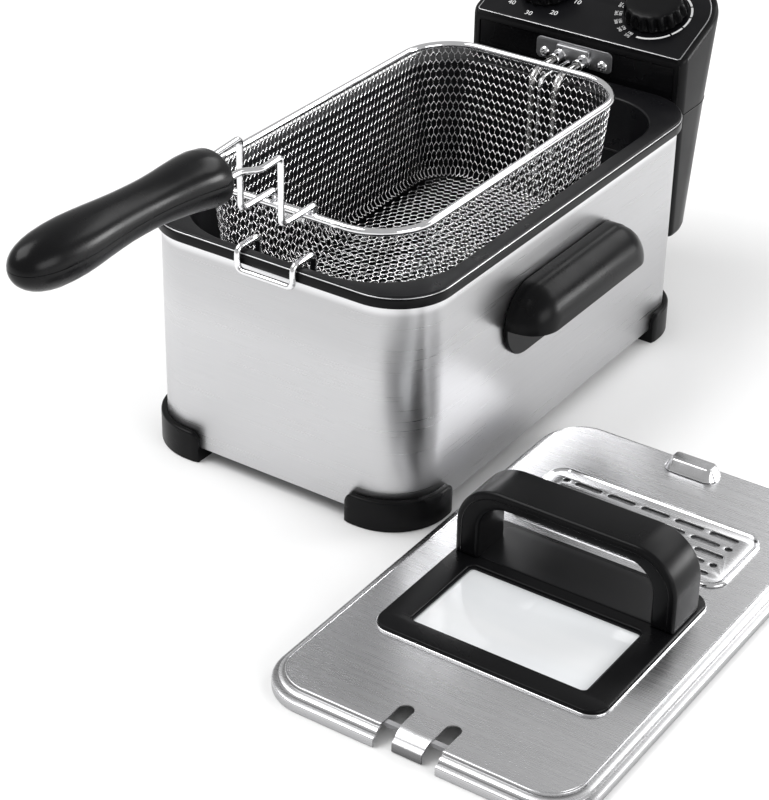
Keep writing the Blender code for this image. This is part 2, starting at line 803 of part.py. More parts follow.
def grips(parts, cutters):
    """The grip's two shells, parted a little below its axis and drilled for the wires."""
    steps = 12
    for name, side, shift in (("grip_upper", 1, 0.0), ("grip_lower", -1, -GAP)):
        rings = []
        for y, radius, rise in GRIP_SECTIONS:
            centre = GRIP_AXIS_Z + rise + shift
            ring = []
            for step in range(steps + 1):
                angle = math.pi * step / steps
                ring.append((radius * math.cos(angle), y, centre + side * radius * math.sin(angle)))
            rings.append(ring)
        grip = loft(name, rings, "black_gloss", parts)
        for end in (-1, 1):
            start = (end * GRIP_WIRE_X, -0.2715, GRIP_WIRE_Z)
            hole = cylinder(f"{name}_hole_{end}", start, "Y", WIRE + GAP, 0.04, None, cutters, 12)
            cut(grip, hole)


# --- lid --------------------------------------------------------------------------------------
def lid_panel(parts, cutters):
    """The pressed sheet: a flat top, two steps and a skirt, with openings and two wire notches."""
    top = (LID_STEP, LID_HEIGHT)
    outside = (
        (LID_STEP - 0.0004, LID_HEIGHT - 0.0004),
        (LID_STEP - 0.0009, 0.0096),
        (0.0044, 0.0090),
        (0.0038, 0.0068),
        (0.0008, 0.0062),
        (0.0, 0.0052),
        (0.0, 0.0),
    )
    inside = (
        (0.0010, 0.0),
        (0.0010, 0.0048),
        (0.0048, 0.0058),
        (0.0054, 0.0080),
        (0.0092, 0.0088),
        (0.0096, 0.0106),
    )
    under = (LID_STEP + 0.0020, LID_HEIGHT - LID_SHEET)
    rings = [level(LID.grown(-inset), z) for inset, z in (top, *outside, *inside, under)]
    lid = loft("lid_panel", rings, "brushed_steel", parts)
    openings = (
        ("window_opening", 0.0680, 0.0915, 0.1745, 0.006),
        ("vent_opening", 0.0720, 0.2390, 0.2950, 0.008),
    )
    for name, half, front, rear, radius in openings:
        outline = Outline(half, front, rear, radius, radius)
        cut(lid, loft(name, (level(outline, 0.005), level(outline, 0.02)), None, cutters))
    notch = Outline(0.0050, -0.0400, LID_STEP + 0.0230, 0.0020, 0.0049)
    for side in (-1, 1):
        rings = [[(x + side * 0.0160, y, z) for x, y, z in level(notch, height)] for height in (-0.01, 0.03)]
        cut(lid, loft(f"notch_{side}", rings, None, cutters))
    return lid


def lid_window(parts):
    """The black frame, its glass pane below it and the arched handle across its rear."""
    frame_thickness = 0.0027
    frame_low = LID_HEIGHT + GAP
    frame = Outline(0.0785, LID_STEP + 0.0730, LID_STEP + 0.2130, 0.0120, 0.0120)
    light = Outline(0.0610, LID_STEP + 0.0890, LID_STEP + 0.1590, 0.0040, 0.0040)
    loops = (frame.points(), light.points())
    shape = flat_shape("window_frame", loops, frame_thickness, "black_gloss", parts)
    shape.location.z = frame_low + frame_thickness / 2
    pane_thickness = 0.0030
    pane_loop = light.grown(0.0045).points()
    pane = flat_shape("window_glass", (pane_loop,), pane_thickness, "window_glass", parts)
    pane.location.z = LID_HEIGHT - pane_thickness / 2
    handle_low = frame_low + frame_thickness + GAP
    handle_high = 0.0680
    outer = Outline(0.0770, handle_low - 0.0305, handle_high, 0.0300, 0.0300)
    inner = Outline(0.0610, handle_low - 0.0205, handle_high - 0.0110, 0.0200, 0.0200)
    outer_arc = outer.points()[8:24]
    inner_arc = inner.points()[8:24]
    side_foot = ((outer.half, handle_low), (-outer.half, handle_low))
    inner_foot = ((-inner.half, handle_low), (inner.half, handle_low))
    loop = [side_foot[0], *outer_arc, side_foot[1], inner_foot[0], *reversed(inner_arc), inner_foot[1]]
    depth = 0.0340
    arch = flat_shape("lid_handle", (loop,), depth, "black_gloss", parts)
    arch.rotation_euler = (math.pi / 2, 0, 0)
    arch.location.y = LID_STEP + 0.1645 + depth / 2
    for name, side in (("lid_handle_screw_right", 1), ("lid_handle_screw_left", -1)):
        start = (side * 0.0650, LID_STEP + 0.1815, LID_HEIGHT - LID_SHEET - GAP - 0.0022)
        cylinder(name, start, "Z", 0.0040, 0.0022, "chrome", parts, 16)


def slot(x, y, length, width, steps=4):
    points = []
    for side, start in ((1, -90), (-1, 90)):
        centre = x + side * (length - width) / 2
        for step in range(steps + 1):
            angle = math.radians(start + 180 * step / steps)
            points.append((centre + width / 2 * math.cos(angle), y + width / 2 * math.sin(angle)))
    return points


def vent_slots():
    """Five rows of long slots; each row has one round hole, on alternate ends."""
    pitch_x, pitch_y, length, width = 0.02475, 0.01062, 0.0196, 0.0042
    holes = []
    for row in range(5):
        y = LID_STEP + 0.2790 - row * pitch_y
        shift = 0.0040 if row % 2 == 0 else -0.0040
        for column in range(-2, 3):
            holes.append(slot(shift + column * pitch_x, y, length, width))
        end = -0.0620 if row % 2 == 0 else 0.0620
        holes.append(circle(end, y, width / 2, 10))
    return holes


def lid_vent(parts):
    """The steam vent: raised border, perforated plate, filter pad and the tray that holds it."""
    border = Outline(0.0775, LID_STEP + 0.2240, LID_STEP + 0.2930, 0.0130, 0.0130)
    inner = border.grown(-0.0040)
    band("vent_frame", border, inner, LID_HEIGHT + GAP, LID_HEIGHT + 0.0020, "brushed_steel", parts)
    plate_thickness = 0.0010
    plate_edge = inner.grown(-GAP)
    plate = flat_shape(
        "vent_cover", [plate_edge.points()] + vent_slots(), plate_thickness, "brushed_steel", parts
    )
    plate.location.z = LID_HEIGHT + GAP + plate_thickness / 2
    pad_front, pad_rear = LID_STEP + 0.2330, LID_STEP + 0.2840
    box("vent_filter", (-0.0700, pad_front, 0.0042), (0.0700, pad_rear, 0.0105), "filter_foam", parts)
    tray_outer = Outline(0.0740, LID_STEP + 0.2290, LID_STEP + 0.2880, 0.0050, 0.0050)
    tray_inner = Outline(0.0640, LID_STEP + 0.2390, LID_STEP + 0.2780, 0.0050, 0.0050)
    band("filter_tray", tray_outer, tray_inner, 0.0024, 0.0039, "dark_steel", parts)


def lid_fittings(parts):
    """The seal under the lid's edge and the raised catch at its rear edge."""
    band("lid_seal", LID.grown(-0.0120), LID.grown(-0.0155), 0.0078, 0.0107, "silicone", parts)
    rear = LID_LENGTH - LID_STEP - 0.0006
    box(
        "rear_catch",
        (-0.0190, rear - 0.0190, LID_HEIGHT + GAP),
        (0.0190, rear, LID_HEIGHT + 0.0080),
        "chrome",
        parts,
        0.0022,
    )


def lid(parts, cutters):
    """All of the lid, made about its front edge and moved to its place on the table."""
    before = set(bpy.data.objects)
    lid_panel(parts, cutters)
    lid_window(parts)
    lid_vent(parts)
    lid_fittings(parts)
    place = bpy.data.objects.new("lid_place", None)
    parts.objects.link(place)
    place.location = (LID_X, LID_FRONT, 0)
    for obj in set(bpy.data.objects) - before - {place}:
        obj.parent = place


def main():
    clear_scene()
    parts = new_collection("deep_fryer")
    cutters = new_collection("cutters")
    housing_shell(parts)
    base_plate(parts)
    feet(parts)
    top_rim(parts)
    oil_pot(parts)
    side_handles(parts, cutters)
    guide_rail(parts, cutters)
    head_housing(parts, cutters)
    head_front_panel(parts)
    head_guide(parts, cutters)
    top_panel(parts)
    knob("timer_knob", -KNOB_X, parts)
    knob("thermostat_knob", KNOB_X, parts)
    lamps(parts)
    element_bracket(parts, cutters)
    bracket_screws(parts)
    heating_element(parts)
    thermostat_sensor(parts)
    head_internals(parts)
    cord_gland(parts)
    reset_button(parts)
    basket(parts)
    handle_bracket(parts, cutters)
    handle_wires(parts)
    grips(parts, cutters)
    lid(parts, cutters)


main()
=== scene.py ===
"""Looks of a household deep fryer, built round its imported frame: body and pot, control head, basket with its
folding handle, and the lid beside it. Metres, +Z up, -Y the basket handle's end."""

import math
from collections import namedtuple

import bmesh
import bpy
from mathutils import Euler, Matrix, Vector


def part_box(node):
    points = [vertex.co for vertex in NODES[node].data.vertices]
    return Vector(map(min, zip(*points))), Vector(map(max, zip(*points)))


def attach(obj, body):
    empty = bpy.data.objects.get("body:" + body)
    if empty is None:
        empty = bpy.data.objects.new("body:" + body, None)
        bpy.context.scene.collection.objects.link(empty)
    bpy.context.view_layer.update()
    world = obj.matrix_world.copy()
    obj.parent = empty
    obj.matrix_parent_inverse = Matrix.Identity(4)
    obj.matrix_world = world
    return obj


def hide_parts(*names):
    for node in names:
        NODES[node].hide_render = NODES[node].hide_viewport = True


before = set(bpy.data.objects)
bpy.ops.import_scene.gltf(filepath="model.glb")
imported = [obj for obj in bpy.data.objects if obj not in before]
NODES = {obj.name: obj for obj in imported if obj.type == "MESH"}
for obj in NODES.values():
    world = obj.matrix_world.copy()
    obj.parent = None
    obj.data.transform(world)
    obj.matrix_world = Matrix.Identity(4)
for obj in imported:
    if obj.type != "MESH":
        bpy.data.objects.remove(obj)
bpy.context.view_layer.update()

# --- places and sizes read from the frame -------------------------------------------------------
SHELL_LOW, SHELL_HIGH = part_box("housing_shell")
RIM_LOW, RIM_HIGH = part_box("top_rim")
POT_LOW, POT_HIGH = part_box("oil_pot")
HEAD_LOW, HEAD_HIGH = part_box("head_housing")
BASKET_LOW, BASKET_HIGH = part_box("basket_rim")
NET_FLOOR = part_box("basket_mesh")[0].z
LID_LOW, LID_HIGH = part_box("lid_panel")
LID_X = (LID_LOW.x + LID_HIGH.x) / 2
LID_Y = LID_LOW.y
LID_STEP = 0.0085
LID_TOP = LID_HIGH.z
HEAD_FRONT = HEAD_LOW.y
HEAD_TOP_FRONT = 0.1988
HEAD_SLOPE = math.radians(22)
HEAD_LEAN = 0.16
KNOB_X, KNOB_V = 0.0455, 0.0410
POWER_V, HEAT_V = 0.0540, 0.0680
DIAL_V = KNOB_V - 0.0012
WIRE = 0.0022


class Outline(namedtuple("Outline", "half front rear front_radius rear_radius")):
    """A rounded rectangle seen from above, symmetric about X = 0."""

    def grown(self, by):
        return Outline(
            self.half + by, self.front - by, self.rear + by, self.front_radius + by, self.rear_radius + by
        )

    def points(self, steps=20):
        corners = (
            (1, self.front + self.front_radius, self.front_radius, -90),
            (1, self.rear - self.rear_radius, self.rear_radius, 0),
            (-1, self.rear - self.rear_radius, self.rear_radius, 90),
            (-1, self.front + self.front_radius, self.front_radius, 180),
        )
        found = []
        for side, centre_y, radius, start in corners:
            centre_x = side * (self.half - radius)
            for step in range(steps + 1):
                angle = math.radians(start + 90 * step / steps)
                found.append((centre_x + radius * math.cos(angle), centre_y + radius * math.sin(angle)))
        return found


BODY = Outline(SHELL_HIGH.x, SHELL_LOW.y, SHELL_HIGH.y, 0.0376, 0.0376)
MOUTH = Outline(0.0985, -0.1805, 0.1640, 0.0600, 0.0480)
BASKET = Outline(BASKET_HIGH.x - WIRE, BASKET_LOW.y + WIRE, BASKET_HIGH.y - WIRE, 0.0400, 0.0400)
LID = Outline((LID_HIGH.x - LID_LOW.x) / 2, 0, LID_HIGH.y - LID_LOW.y, 0.0330, 0.0330)
RIM_Z = (BASKET_LOW.z + BASKET_HIGH.z) / 2


# --- materials ----------------------------------------------------------------------------------
class Shader:
    """A Principled material with a few helpers for procedural detail in object coordinates."""

    def __init__(self, name, colour, roughness, metallic=0.0, **settings):
        self.material = bpy.data.materials.new(name)
        self.material.use_nodes = True
        self.tree = self.material.node_tree
        self.bsdf = self.tree.nodes["Principled BSDF"]
        self.set("Base Color", (*colour, 1))
        self.set("Roughness", roughness)
        self.set("Metallic", metallic)
        for key, value in settings.items():
            self.set(key.replace("_", " "), value)
        self.bumps = None

    def set(self, socket, value):
        self.bsdf.inputs[socket].default_value = value

    def node(self, kind, **values):
        made = self.tree.nodes.new(kind)
        for key, value in values.items():
            if key in made.inputs:
                made.inputs[key].default_value = value
            else:
                setattr(made, key, value)
        return made

    def join(self, source, target):
        self.tree.links.new(source, target)

    def noise(self, stretch=(1, 1, 1), scale=1.0, detail=3.0, roughness=0.5):
        """Noise in object coordinates, stretched along the axes whose factor is small."""
        place = self.node("ShaderNodeTexCoord")
        mapping = self.node("ShaderNodeMapping")
        mapping.inputs["Scale"].default_value = stretch
        self.join(place.outputs["Object"], mapping.inputs["Vector"])
        texture = self.node("ShaderNodeTexNoise", Scale=scale, Detail=detail, Roughness=roughness)
        self.join(mapping.outputs["Vector"], texture.inputs["Vector"])
        return texture.outputs["Fac"]

    def colours(self, factor, low, high, start=0.3, end=0.7):
        ramp = self.node("ShaderNodeValToRGB")
        ramp.color_ramp.elements[0].color = (*low, 1)
        ramp.color_ramp.elements[1].color = (*high, 1)
        ramp.color_ramp.elements[0].position = start
        ramp.color_ramp.elements[1].position = end
        self.join(factor, ramp.inputs["Fac"])
        self.join(ramp.outputs["Color"], self.bsdf.inputs["Base Color"])

    def paint_light_by_height(self, top, painted_light_stops):
        """Paints light and shade into the colour: multiplies it by a grey that changes with height, from 0 to
        the given top.
        """
        place = self.node("ShaderNodeTexCoord")
        split = self.node("ShaderNodeSeparateXYZ")
        self.join(place.outputs["Object"], split.inputs["Vector"])
        span = self.node("ShaderNodeMapRange")
        span.inputs["From Max"].default_value = top
        self.join(split.outputs["Z"], span.inputs["Value"])
        ramp = self.node("ShaderNodeValToRGB")
        ramp.color_ramp.interpolation = "EASE"
        elements = ramp.color_ramp.elements
        elements[0].position, elements[1].position = painted_light_stops[0][0], painted_light_stops[-1][0]
        for position, grey in painted_light_stops[1:-1]:
            elements.new(position).color = (grey, grey, grey, 1)
        for element, (position, grey) in ((elements[0], painted_light_stops[0]), (elements[len(painted_light_stops) - 1], painted_light_stops[-1])):
            element.color = (grey, grey, grey, 1)
        self.join(span.outputs["Result"], ramp.inputs["Fac"])
        mix = self.node("ShaderNodeMix", data_type="RGBA", blend_type="MULTIPLY")
        mix.inputs["Factor"].default_value = 1.0
        self.join(self.bsdf.inputs["Base Color"].links[0].from_socket, mix.inputs[6])
        self.join(ramp.outputs["Color"], mix.inputs[7])
        self.join(mix.outputs[2], self.bsdf.inputs["Base Color"])

    def rough(self, factor, low, high):
        limits = {"From Min": 0.3, "From Max": 0.7, "To Min": low, "To Max": high}
        span = self.node("ShaderNodeMapRange", **limits)
        self.join(factor, span.inputs["Value"])
        self.join(span.outputs["Result"], self.bsdf.inputs["Roughness"])

    def bump(self, factor, strength, distance):
        made = self.node("ShaderNodeBump", Strength=strength, Distance=distance)
        self.join(factor, made.inputs["Height"])
        if self.bumps:
            self.join(self.bumps, made.inputs["Normal"])
        self.bumps = made.outputs["Normal"]
        self.join(self.bumps, self.bsdf.inputs["Normal"])


# Painted light by height on the body's steel wall: a painted highlight band just under the rim, over a band of
# painted shade that lightens lower down.
WALL_PAINTED_LIGHT = ((0.0, 0.98), (0.62, 0.95), (0.84, 0.84), (0.935, 0.80), (0.965, 1.22), (1.0, 1.25))
# Painted light by height on the lid: painted shadow at its foot, painted highlights along the bends of its
# steps, painted shade on the treads between them and a painted dark line just under the top.
LID_PAINTED_LIGHT = (
    *((0.0, 0.40), (0.05, 0.72), (0.40, 0.80), (0.455, 1.15), (0.50, 1.15), (0.54, 0.58), (0.70, 0.62)),
    *((0.75, 1.15), (0.785, 1.15), (0.81, 0.60), (0.90, 0.66), (0.945, 0.45), (0.965, 1.0)),
)
# Painted light by height on the notch tab: a skirt of painted shade below, a painted highlight line across its
# bend, lightening to the top.
TAB_PAINTED_LIGHT = ((0.0, 0.22), (0.45, 0.35), (0.53, 0.40), (0.57, 0.90), (0.62, 0.42), (0.80, 0.60), (0.97, 1.0))


def brushed(name, along, light, dark, roughness, painted_light_top=None, painted_light_stops=WALL_PAINTED_LIGHT):
    """Brushed stainless steel with its grain along the axes marked 1, with painted light and shade by height
    up to the given top.
    """
    stretch = tuple(22 if axis else 2400 for axis in along)
    steel = Shader(name, light, roughness, 1.0, Anisotropic=0.2)
    grain = steel.noise(stretch, 1.0, 4.0, 0.6)
    steel.colours(grain, dark, light, 0.25, 0.75)
    # Painted highlight and shade bands by height, multiplied into the colour.
    if painted_light_top:
        steel.paint_light_by_height(painted_light_top, painted_light_stops)
    steel.rough(steel.noise(stretch, 0.6, 2.0), roughness - 0.03, roughness + 0.04)
    steel.bump(grain, 0.02, 0.00003)
    return steel.material


def plastic(name, colour, roughness, grain=1800, strength=0.12, **settings):
    """Moulded plastic: a fine even texture and faint patches of gloss."""
    made = Shader(name, colour, roughness, **settings)
    patches = made.noise((1, 1, 1), 35, 3)
    deeper = tuple(channel * 0.8 for channel in colour)
    made.colours(patches, deeper, colour, 0.3, 0.7)
    made.rough(patches, roughness - 0.04, roughness + 0.05)
    made.bump(made.noise((1, 1, 1), grain, 2), strength, 0.00005)
    return made.material


def chrome(name, colour, roughness):
    made = Shader(name, colour, roughness, 1.0)
    haze = made.noise((1, 1, 1), 120, 2)
    made.colours(haze, tuple(c * 0.93 for c in colour), colour)
    made.rough(haze, roughness * 0.7, roughness * 1.4)
    return made.material


def enamel():
    made = Shader("black_enamel", (0.006, 0.006, 0.007), 0.30, Specular_IOR_Level=0.2)
    specks = made.noise((1, 1, 1), 900, 2)
    made.colours(specks, (0.005, 0.005, 0.006), (0.010, 0.010, 0.011), 0.55, 0.75)
    made.rough(made.noise((1, 1, 1), 60, 2), 0.26, 0.36)
    made.bump(made.noise((1, 1, 1), 260, 2), 0.06, 0.0002)
    return made.material


def glass():
    # The pane's near-white colour is a painted reflection, and the streaks that vary it are painted reflection
    # and smears.
    made = Shader("window_glass", (0.90, 0.92, 0.93), 0.06, IOR=1.45)
    made.set("Transmission Weight", 0.15)
    smear_and_reflection_streaks = made.noise((6, 30, 1), 1.0, 2)
    made.colours(smear_and_reflection_streaks, (0.84, 0.86, 0.88), (0.93, 0.94, 0.95))
    made.rough(smear_and_reflection_streaks, 0.04, 0.09)
    return made.material


def fibre(name, light, dark):
    made = Shader(name, light, 0.8)
    strands = made.noise((1, 2.5, 1), 900, 4, 0.7)
    made.colours(strands, dark, light, 0.4, 0.6)
    made.bump(strands, 0.6, 0.0003)
    return made.material


# These three steels carry painted light and shade by height, from the painted light stops above.
STEEL_WALL = brushed("steel_wall", (1, 1, 0), (0.67, 0.67, 0.68), (0.63, 0.63, 0.64), 0.30, SHELL_HIGH.z)
STEEL_TOP = brushed("steel_top", (1, 0, 0), (0.64, 0.64, 0.65), (0.60, 0.60, 0.61), 0.28, LID_TOP, LID_PAINTED_LIGHT)
STEEL_TAB = brushed("steel_tab", (1, 0, 0), (0.64, 0.64, 0.65), (0.60, 0.60, 0.61), 0.28, LID_TOP, TAB_PAINTED_LIGHT)
BRACKET = brushed("bracket_steel", (1, 0, 0), (0.38, 0.38, 0.39), (0.33, 0.33, 0.34), 0.40)
POLISHED = chrome("polished_steel", (0.74, 0.74, 0.75), 0.16)
CHROME = chrome("chrome_wire", (0.86, 0.86, 0.87), 0.09)
BLACK = plastic("black_plastic", (0.004, 0.004, 0.0045), 0.29, 2200, 0.05, Specular_IOR_Level=0.13)
BLACK_SIDE = plastic("black_side_plastic", (0.004, 0.004, 0.0045), 0.33, 2500, 0.03, Specular_IOR_Level=0.15)
GLOSS = plastic("black_gloss", (0.003, 0.003, 0.0035), 0.26, 2500, 0.04, Specular_IOR_Level=0.19)
PANEL = plastic("panel_face", (0.005, 0.005, 0.006), 0.30, 2500, 0.04, Specular_IOR_Level=0.14)
RECESS = plastic("dark_recess", (0.007, 0.007, 0.008), 0.36, Specular_IOR_Level=0.16)
ENAMEL = enamel()
DARK_STEEL = brushed("dark_steel", (1, 0, 0), (0.22, 0.22, 0.23), (0.14, 0.14, 0.15), 0.42)
ELEMENT = chrome("element_tube", (0.66, 0.65, 0.64), 0.20)
# A light grey for painted highlights: the bead along the pot's flange and the line round the control panel.
PAINTED_HIGHLIGHT = chrome("painted_highlight_line", (0.60, 0.60, 0.61), 0.28)
PRINT = plastic("white_print", (0.86, 0.86, 0.86), 0.55)
SWITCH = plastic("white_moulding", (0.74, 0.73, 0.70), 0.45)
RED = plastic("red_lens", (0.55, 0.015, 0.012), 0.14, 900, 0.03, Coat_Weight=0.6)
GREEN = plastic("green_lens", (0.03, 0.40, 0.07), 0.14, 900, 0.03, Coat_Weight=0.6)
SEAL = plastic("silicone_seal", (0.30, 0.30, 0.31), 0.6)
GLASS = glass()
FIBRE = fibre("filter_fibre", (0.34, 0.34, 0.35), (0.12, 0.12, 0.12))


# --- making pieces ------------------------------------------------------------------------------
def linked(name, data):
    obj = bpy.data.objects.new(name, data)
    bpy.context.scene.collection.objects.link(obj)
    return obj


def baked(obj):
    """A mesh of the object as it stands, its curve filled and its modifiers applied."""
    bpy.context.view_layer.update()
    return bpy.data.meshes.new_from_object(obj.evaluated_get(bpy.context.evaluated_depsgraph_get()))


def own(name, data, material, body, slot, *nodes):
    """A new piece that rides on a body and stands for the named nodes."""
    obj = linked(name, data)
    data.name = name
    data.materials.clear()
    data.materials.append(material)
    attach(obj, body)
    if nodes:
        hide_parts(*nodes)


def mesh_of(bm, angle=35):
    bmesh.ops.recalc_face_normals(bm, faces=bm.faces)
    mesh = bpy.data.meshes.new("mesh")
    bm.to_mesh(mesh)
    bm.free()
    mesh.shade_smooth()
    mesh.set_sharp_from_angle(angle=math.radians(angle))
    return mesh


def loft(rings, closed=False, angle=35):
    """A skin through rings of equal length: capped, or joined end to start when closed."""
    bm = bmesh.new()
    loops = [[bm.verts.new(point) for point in ring] for ring in rings]
    pairs = list(zip(loops, loops[1:]))
    if closed:
        pairs.append((loops[-1], loops[0]))
    for low, high in pairs:
        for index, vert in enumerate(low):
            after = (index + 1) % len(low)
            bm.faces.new((vert, low[after], high[after], high[index]))
    if not closed:
        bm.faces.new(loops[0])
        bm.faces.new(loops[-1])
    bmesh.ops.remove_doubles(bm, verts=bm.verts, dist=1e-7)
    return mesh_of(bm, angle)


def level(outline, z, steps=20, shift=(0, 0)):
    return [(x + shift[0], y + shift[1], z) for x, y in outline.points(steps)]


def sweep(outline, profile, closed=True, angle=35):
    """A profile of (offset, z) points carried round an outline."""
    return loft([level(outline.grown(offset), z) for offset, z in profile], closed, angle)


def bow(centre, radius, start, end, count):
    """Points of an arc in the (offset, z) plane, from one angle to another in degrees."""
    found = []
    for step in range(count + 1):
        angle = math.radians(start + (end - start) * step / count)
        found.append((centre[0] + radius * math.cos(angle), centre[1] + radius * math.sin(angle)))
    return found


def bent(corners, radius, steps=8):
    """A path through corner points with each inner corner rounded."""
    path = [Vector(corners[0])]
    for before, corner, after in zip(corners, corners[1:], corners[2:]):
        before, corner, after = Vector(before), Vector(corner), Vector(after)
        start = corner + (before - corner).normalized() * min(radius, 0.48 * (before - corner).length)
        end = corner + (after - corner).normalized() * min(radius, 0.48 * (after - corner).length)
        for step in range(steps + 1):
            t = step / steps
            path.append((1 - t) ** 2 * start + 2 * t * (1 - t) * corner + t * t * end)
    path.append(Vector(corners[-1]))
    return path


def add_tube(verts, faces, points, radius, sides=6, cyclic=False, caps=True):
    """Adds a tube along the points to the vertex and face lists, its section turning as little as it can."""
    points = [Vector(p) for p in points]
    count = len(points)
    first = len(verts)
    side = None
    for index, point in enumerate(points):
        before = points[index - 1] if index or cyclic else point
        after = points[(index + 1) % count] if index < count - 1 or cyclic else point
        forward = (after - before).normalized()
        if side is None:
            side = forward.cross(Vector((0.13, 0.31, 0.94)) if abs(forward.z) < 0.9 else Vector((1, 0, 0)))
        side = (side - forward * side.dot(forward)).normalized()
        other = forward.cross(side)
        for step in range(sides):
            angle = 2 * math.pi * step / sides
            verts.append(point + radius * (math.cos(angle) * side + math.sin(angle) * other))
    for index in range(count if cyclic else count - 1):
        a = first + index * sides
        b = first + (index + 1) % count * sides
        for step in range(sides):
            after = (step + 1) % sides
            faces.append((a + step, a + after, b + after, b + step))
    if caps and not cyclic:
        faces.append(tuple(range(first + sides - 1, first - 1, -1)))
        last = first + (count - 1) * sides
        faces.append(tuple(range(last, last + sides)))


def tube_mesh(paths, radius, sides=14, cyclic=False):
    verts, faces = [], []
    for path in paths:
        add_tube(verts, faces, path, radius, sides, cyclic)
    mesh = bpy.data.meshes.new("tube")
    mesh.from_pydata(verts, [], faces)
    mesh.shade_smooth()
    mesh.set_sharp_from_angle(angle=math.radians(50))
    return mesh


def plate(loops, thickness, edge=0.0, steps=3):
    """A flat plate in its own XY plane from closed outlines, with rounded edges, centred on Z = 0."""
    curve = bpy.data.curves.new("outline", "CURVE")
    curve.dimensions = "2D"
    curve.fill_mode = "BOTH"
    curve.extrude = thickness / 2 - edge
    curve.bevel_depth = edge
    curve.bevel_resolution = steps
    curve.offset = -edge
    for loop in loops:
        spline = curve.splines.new("POLY")
        spline.points.add(len(loop) - 1)
        for point, (x, y) in zip(spline.points, loop):
            point.co = (x, y, 0, 1)
        spline.use_cyclic_u = True
    holder = linked("outline", curve)
    mesh = baked(holder)
    bpy.data.objects.remove(holder)
    bm = bmesh.new()
    bm.from_mesh(mesh)
    bmesh.ops.remove_doubles(bm, verts=bm.verts, dist=1e-6)
    return mesh_of(bm, 30)


def box_mesh(low, high, bevel=0.0, segments=3):
    bm = bmesh.new()
    bmesh.ops.create_cube(bm, size=1)
    for vert in bm.verts:
        vert.co = [a + (b - a) * (c + 0.5) for a, b, c in zip(low, high, vert.co)]
    if bevel:
        bmesh.ops.bevel(bm, geom=bm.edges, offset=bevel, segments=segments, profile=0.5, affect="EDGES")
    return mesh_of(bm)


def turned(profile, steps=32):
    """A turned solid about Z from (radius, z) points."""
    rings = []
    for radius, z in profile:
        turn = [2 * math.pi * i / steps for i in range(steps)]
        rings.append([(radius * math.cos(a), radius * math.sin(a), z) for a in turn])
    return loft(rings)


def moved(mesh, matrix):
    mesh.transform(matrix)
    return mesh


def cut(mesh, *cutters, operation="DIFFERENCE"):
    """The mesh after a Boolean with each cutter mesh."""
    target = linked("target", mesh)
    helpers = []
    for cutter in cutters:
        helper = linked("cutter", cutter)
        modifier = target.modifiers.new("cut", "BOOLEAN")
        modifier.operation = operation
        modifier.object = helper
        modifier.solver = "EXACT"
        helpers.append(helper)
    made = baked(target)
    for obj in [target] + helpers:
        bpy.data.objects.remove(obj)
    made.shade_smooth()
    made.set_sharp_from_angle(angle=math.radians(35))
    return made


def cross(reach, width, floor):
    """The two cutters of a cross-head recess."""
    return [box_mesh((-x, -y, floor), (x, y, 0.01)) for x, y in ((reach, width), (width, reach))]


def dress(material, *names):
    """Gives carried-over nodes a better material."""
    for name in names:
        NODES[name].data.materials.clear()
        NODES[name].data.materials.append(material)


def circle(x, y, radius, count=28):
    turn = 2 * math.pi / count
    return [(x + radius * math.cos(turn * i), y + radius * math.sin(turn * i)) for i in range(count)]


# --- body ---------------------------------------------------------------------------------------
def housing():
    low, high = SHELL_LOW.z, SHELL_HIGH.z
    profile = [(-0.001, high), (-0.001, low + 0.001), (-0.0008, low)]
    profile += [(-0.0003, low), (0, low + 0.0006), (0, high)]
    shell = sweep(BODY, profile)
    own("steel_shell", shell, STEEL_WALL, "fryer_body", "brushed_steel", "housing_shell")


def rim():
    low, high = RIM_LOW.z, RIM_HIGH.z
    reach = RIM_HIGH.x - BODY.half
    profile = [(0.0003, low), (reach - 0.0006, low)]
    profile += bow((reach - 0.0006, low + 0.0006), 0.0006, -90, 0, 3)[1:]
    profile += bow((reach - 0.0008, high - 0.0008), 0.0008, 0, 90, 4)
    profile += [(-0.0013, high), (-0.0013, high - 0.0032), (0.0003, high - 0.0032)]
    channel = sweep(BODY, profile)
    own("rim_channel", channel, BLACK, "fryer_body", "black_plastic", "top_rim")


def pot():
    top, under = POT_HIGH.z, RIM_HIGH.z + 0.0003
    edge = BODY.grown(0.0025)
    floor = POT_LOW.z + 0.001
    draft, turn = 0.0080, 0.0120
    inner = [(-draft - turn - 0.004, floor)]
    for a in (0, 0.26, 0.52, 0.79, 1.05, 1.31, 1.57):
        inner.append((-draft - turn + turn * math.sin(a), floor + turn - turn * math.cos(a)))
    for t in (0.25, 0.5, 0.75, 1):
        inner.append((-draft * (1 - t), floor + turn + (top - 0.0016 - floor - turn) * t))
    inner += [(0.0016 - x, z) for x, z in bow((0, top - 0.0016), 0.0016, 0, 90, 5)[1:]]
    rings = [level(MOUTH.grown(o), z) for o, z in inner]
    rings += [level(edge.grown(-0.0009), top)]
    rings += [level(edge.grown(-0.0009 + x), z) for x, z in bow((0, top - 0.0009), 0.0009, 70, 0, 3)]
    rings += [level(edge.grown(-0.0002), under), level(MOUTH.grown(0.001), under)]
    for offset, z in ((0.001 - draft, turn), (-draft - 0.0035, 0.0036), (-draft - turn, 0)):
        rings.append(level(MOUTH.grown(offset), POT_LOW.z + z))
    own("pot", loft(rings), ENAMEL, "fryer_body", "black_enamel", "oil_pot")
    # A thin light bead along the flange's outer edge: a painted highlight for the light caught by the enamel's
    # rim.
    bead = level(edge.grown(-0.0001), under + 0.0004)
    own("pot_edge_highlight", tube_mesh([bead], 0.0004, 8, True), PAINTED_HIGHLIGHT, "fryer_body", "black_enamel")
    paths = []
    for z, half in ((0.132, 0.022), (0.086, 0.022)):
        y = MOUTH.rear - draft * (top - z) / (top - floor - turn) - 0.0004
        paths += [[(side * 0.046 - half * 0.7, y, z), (side * 0.046 + half * 0.7, y, z)] for side in (-1, 1)]
    own("level_marks", tube_mesh(paths, 0.0006, 8), ENAMEL, "fryer_body", "black_enamel")


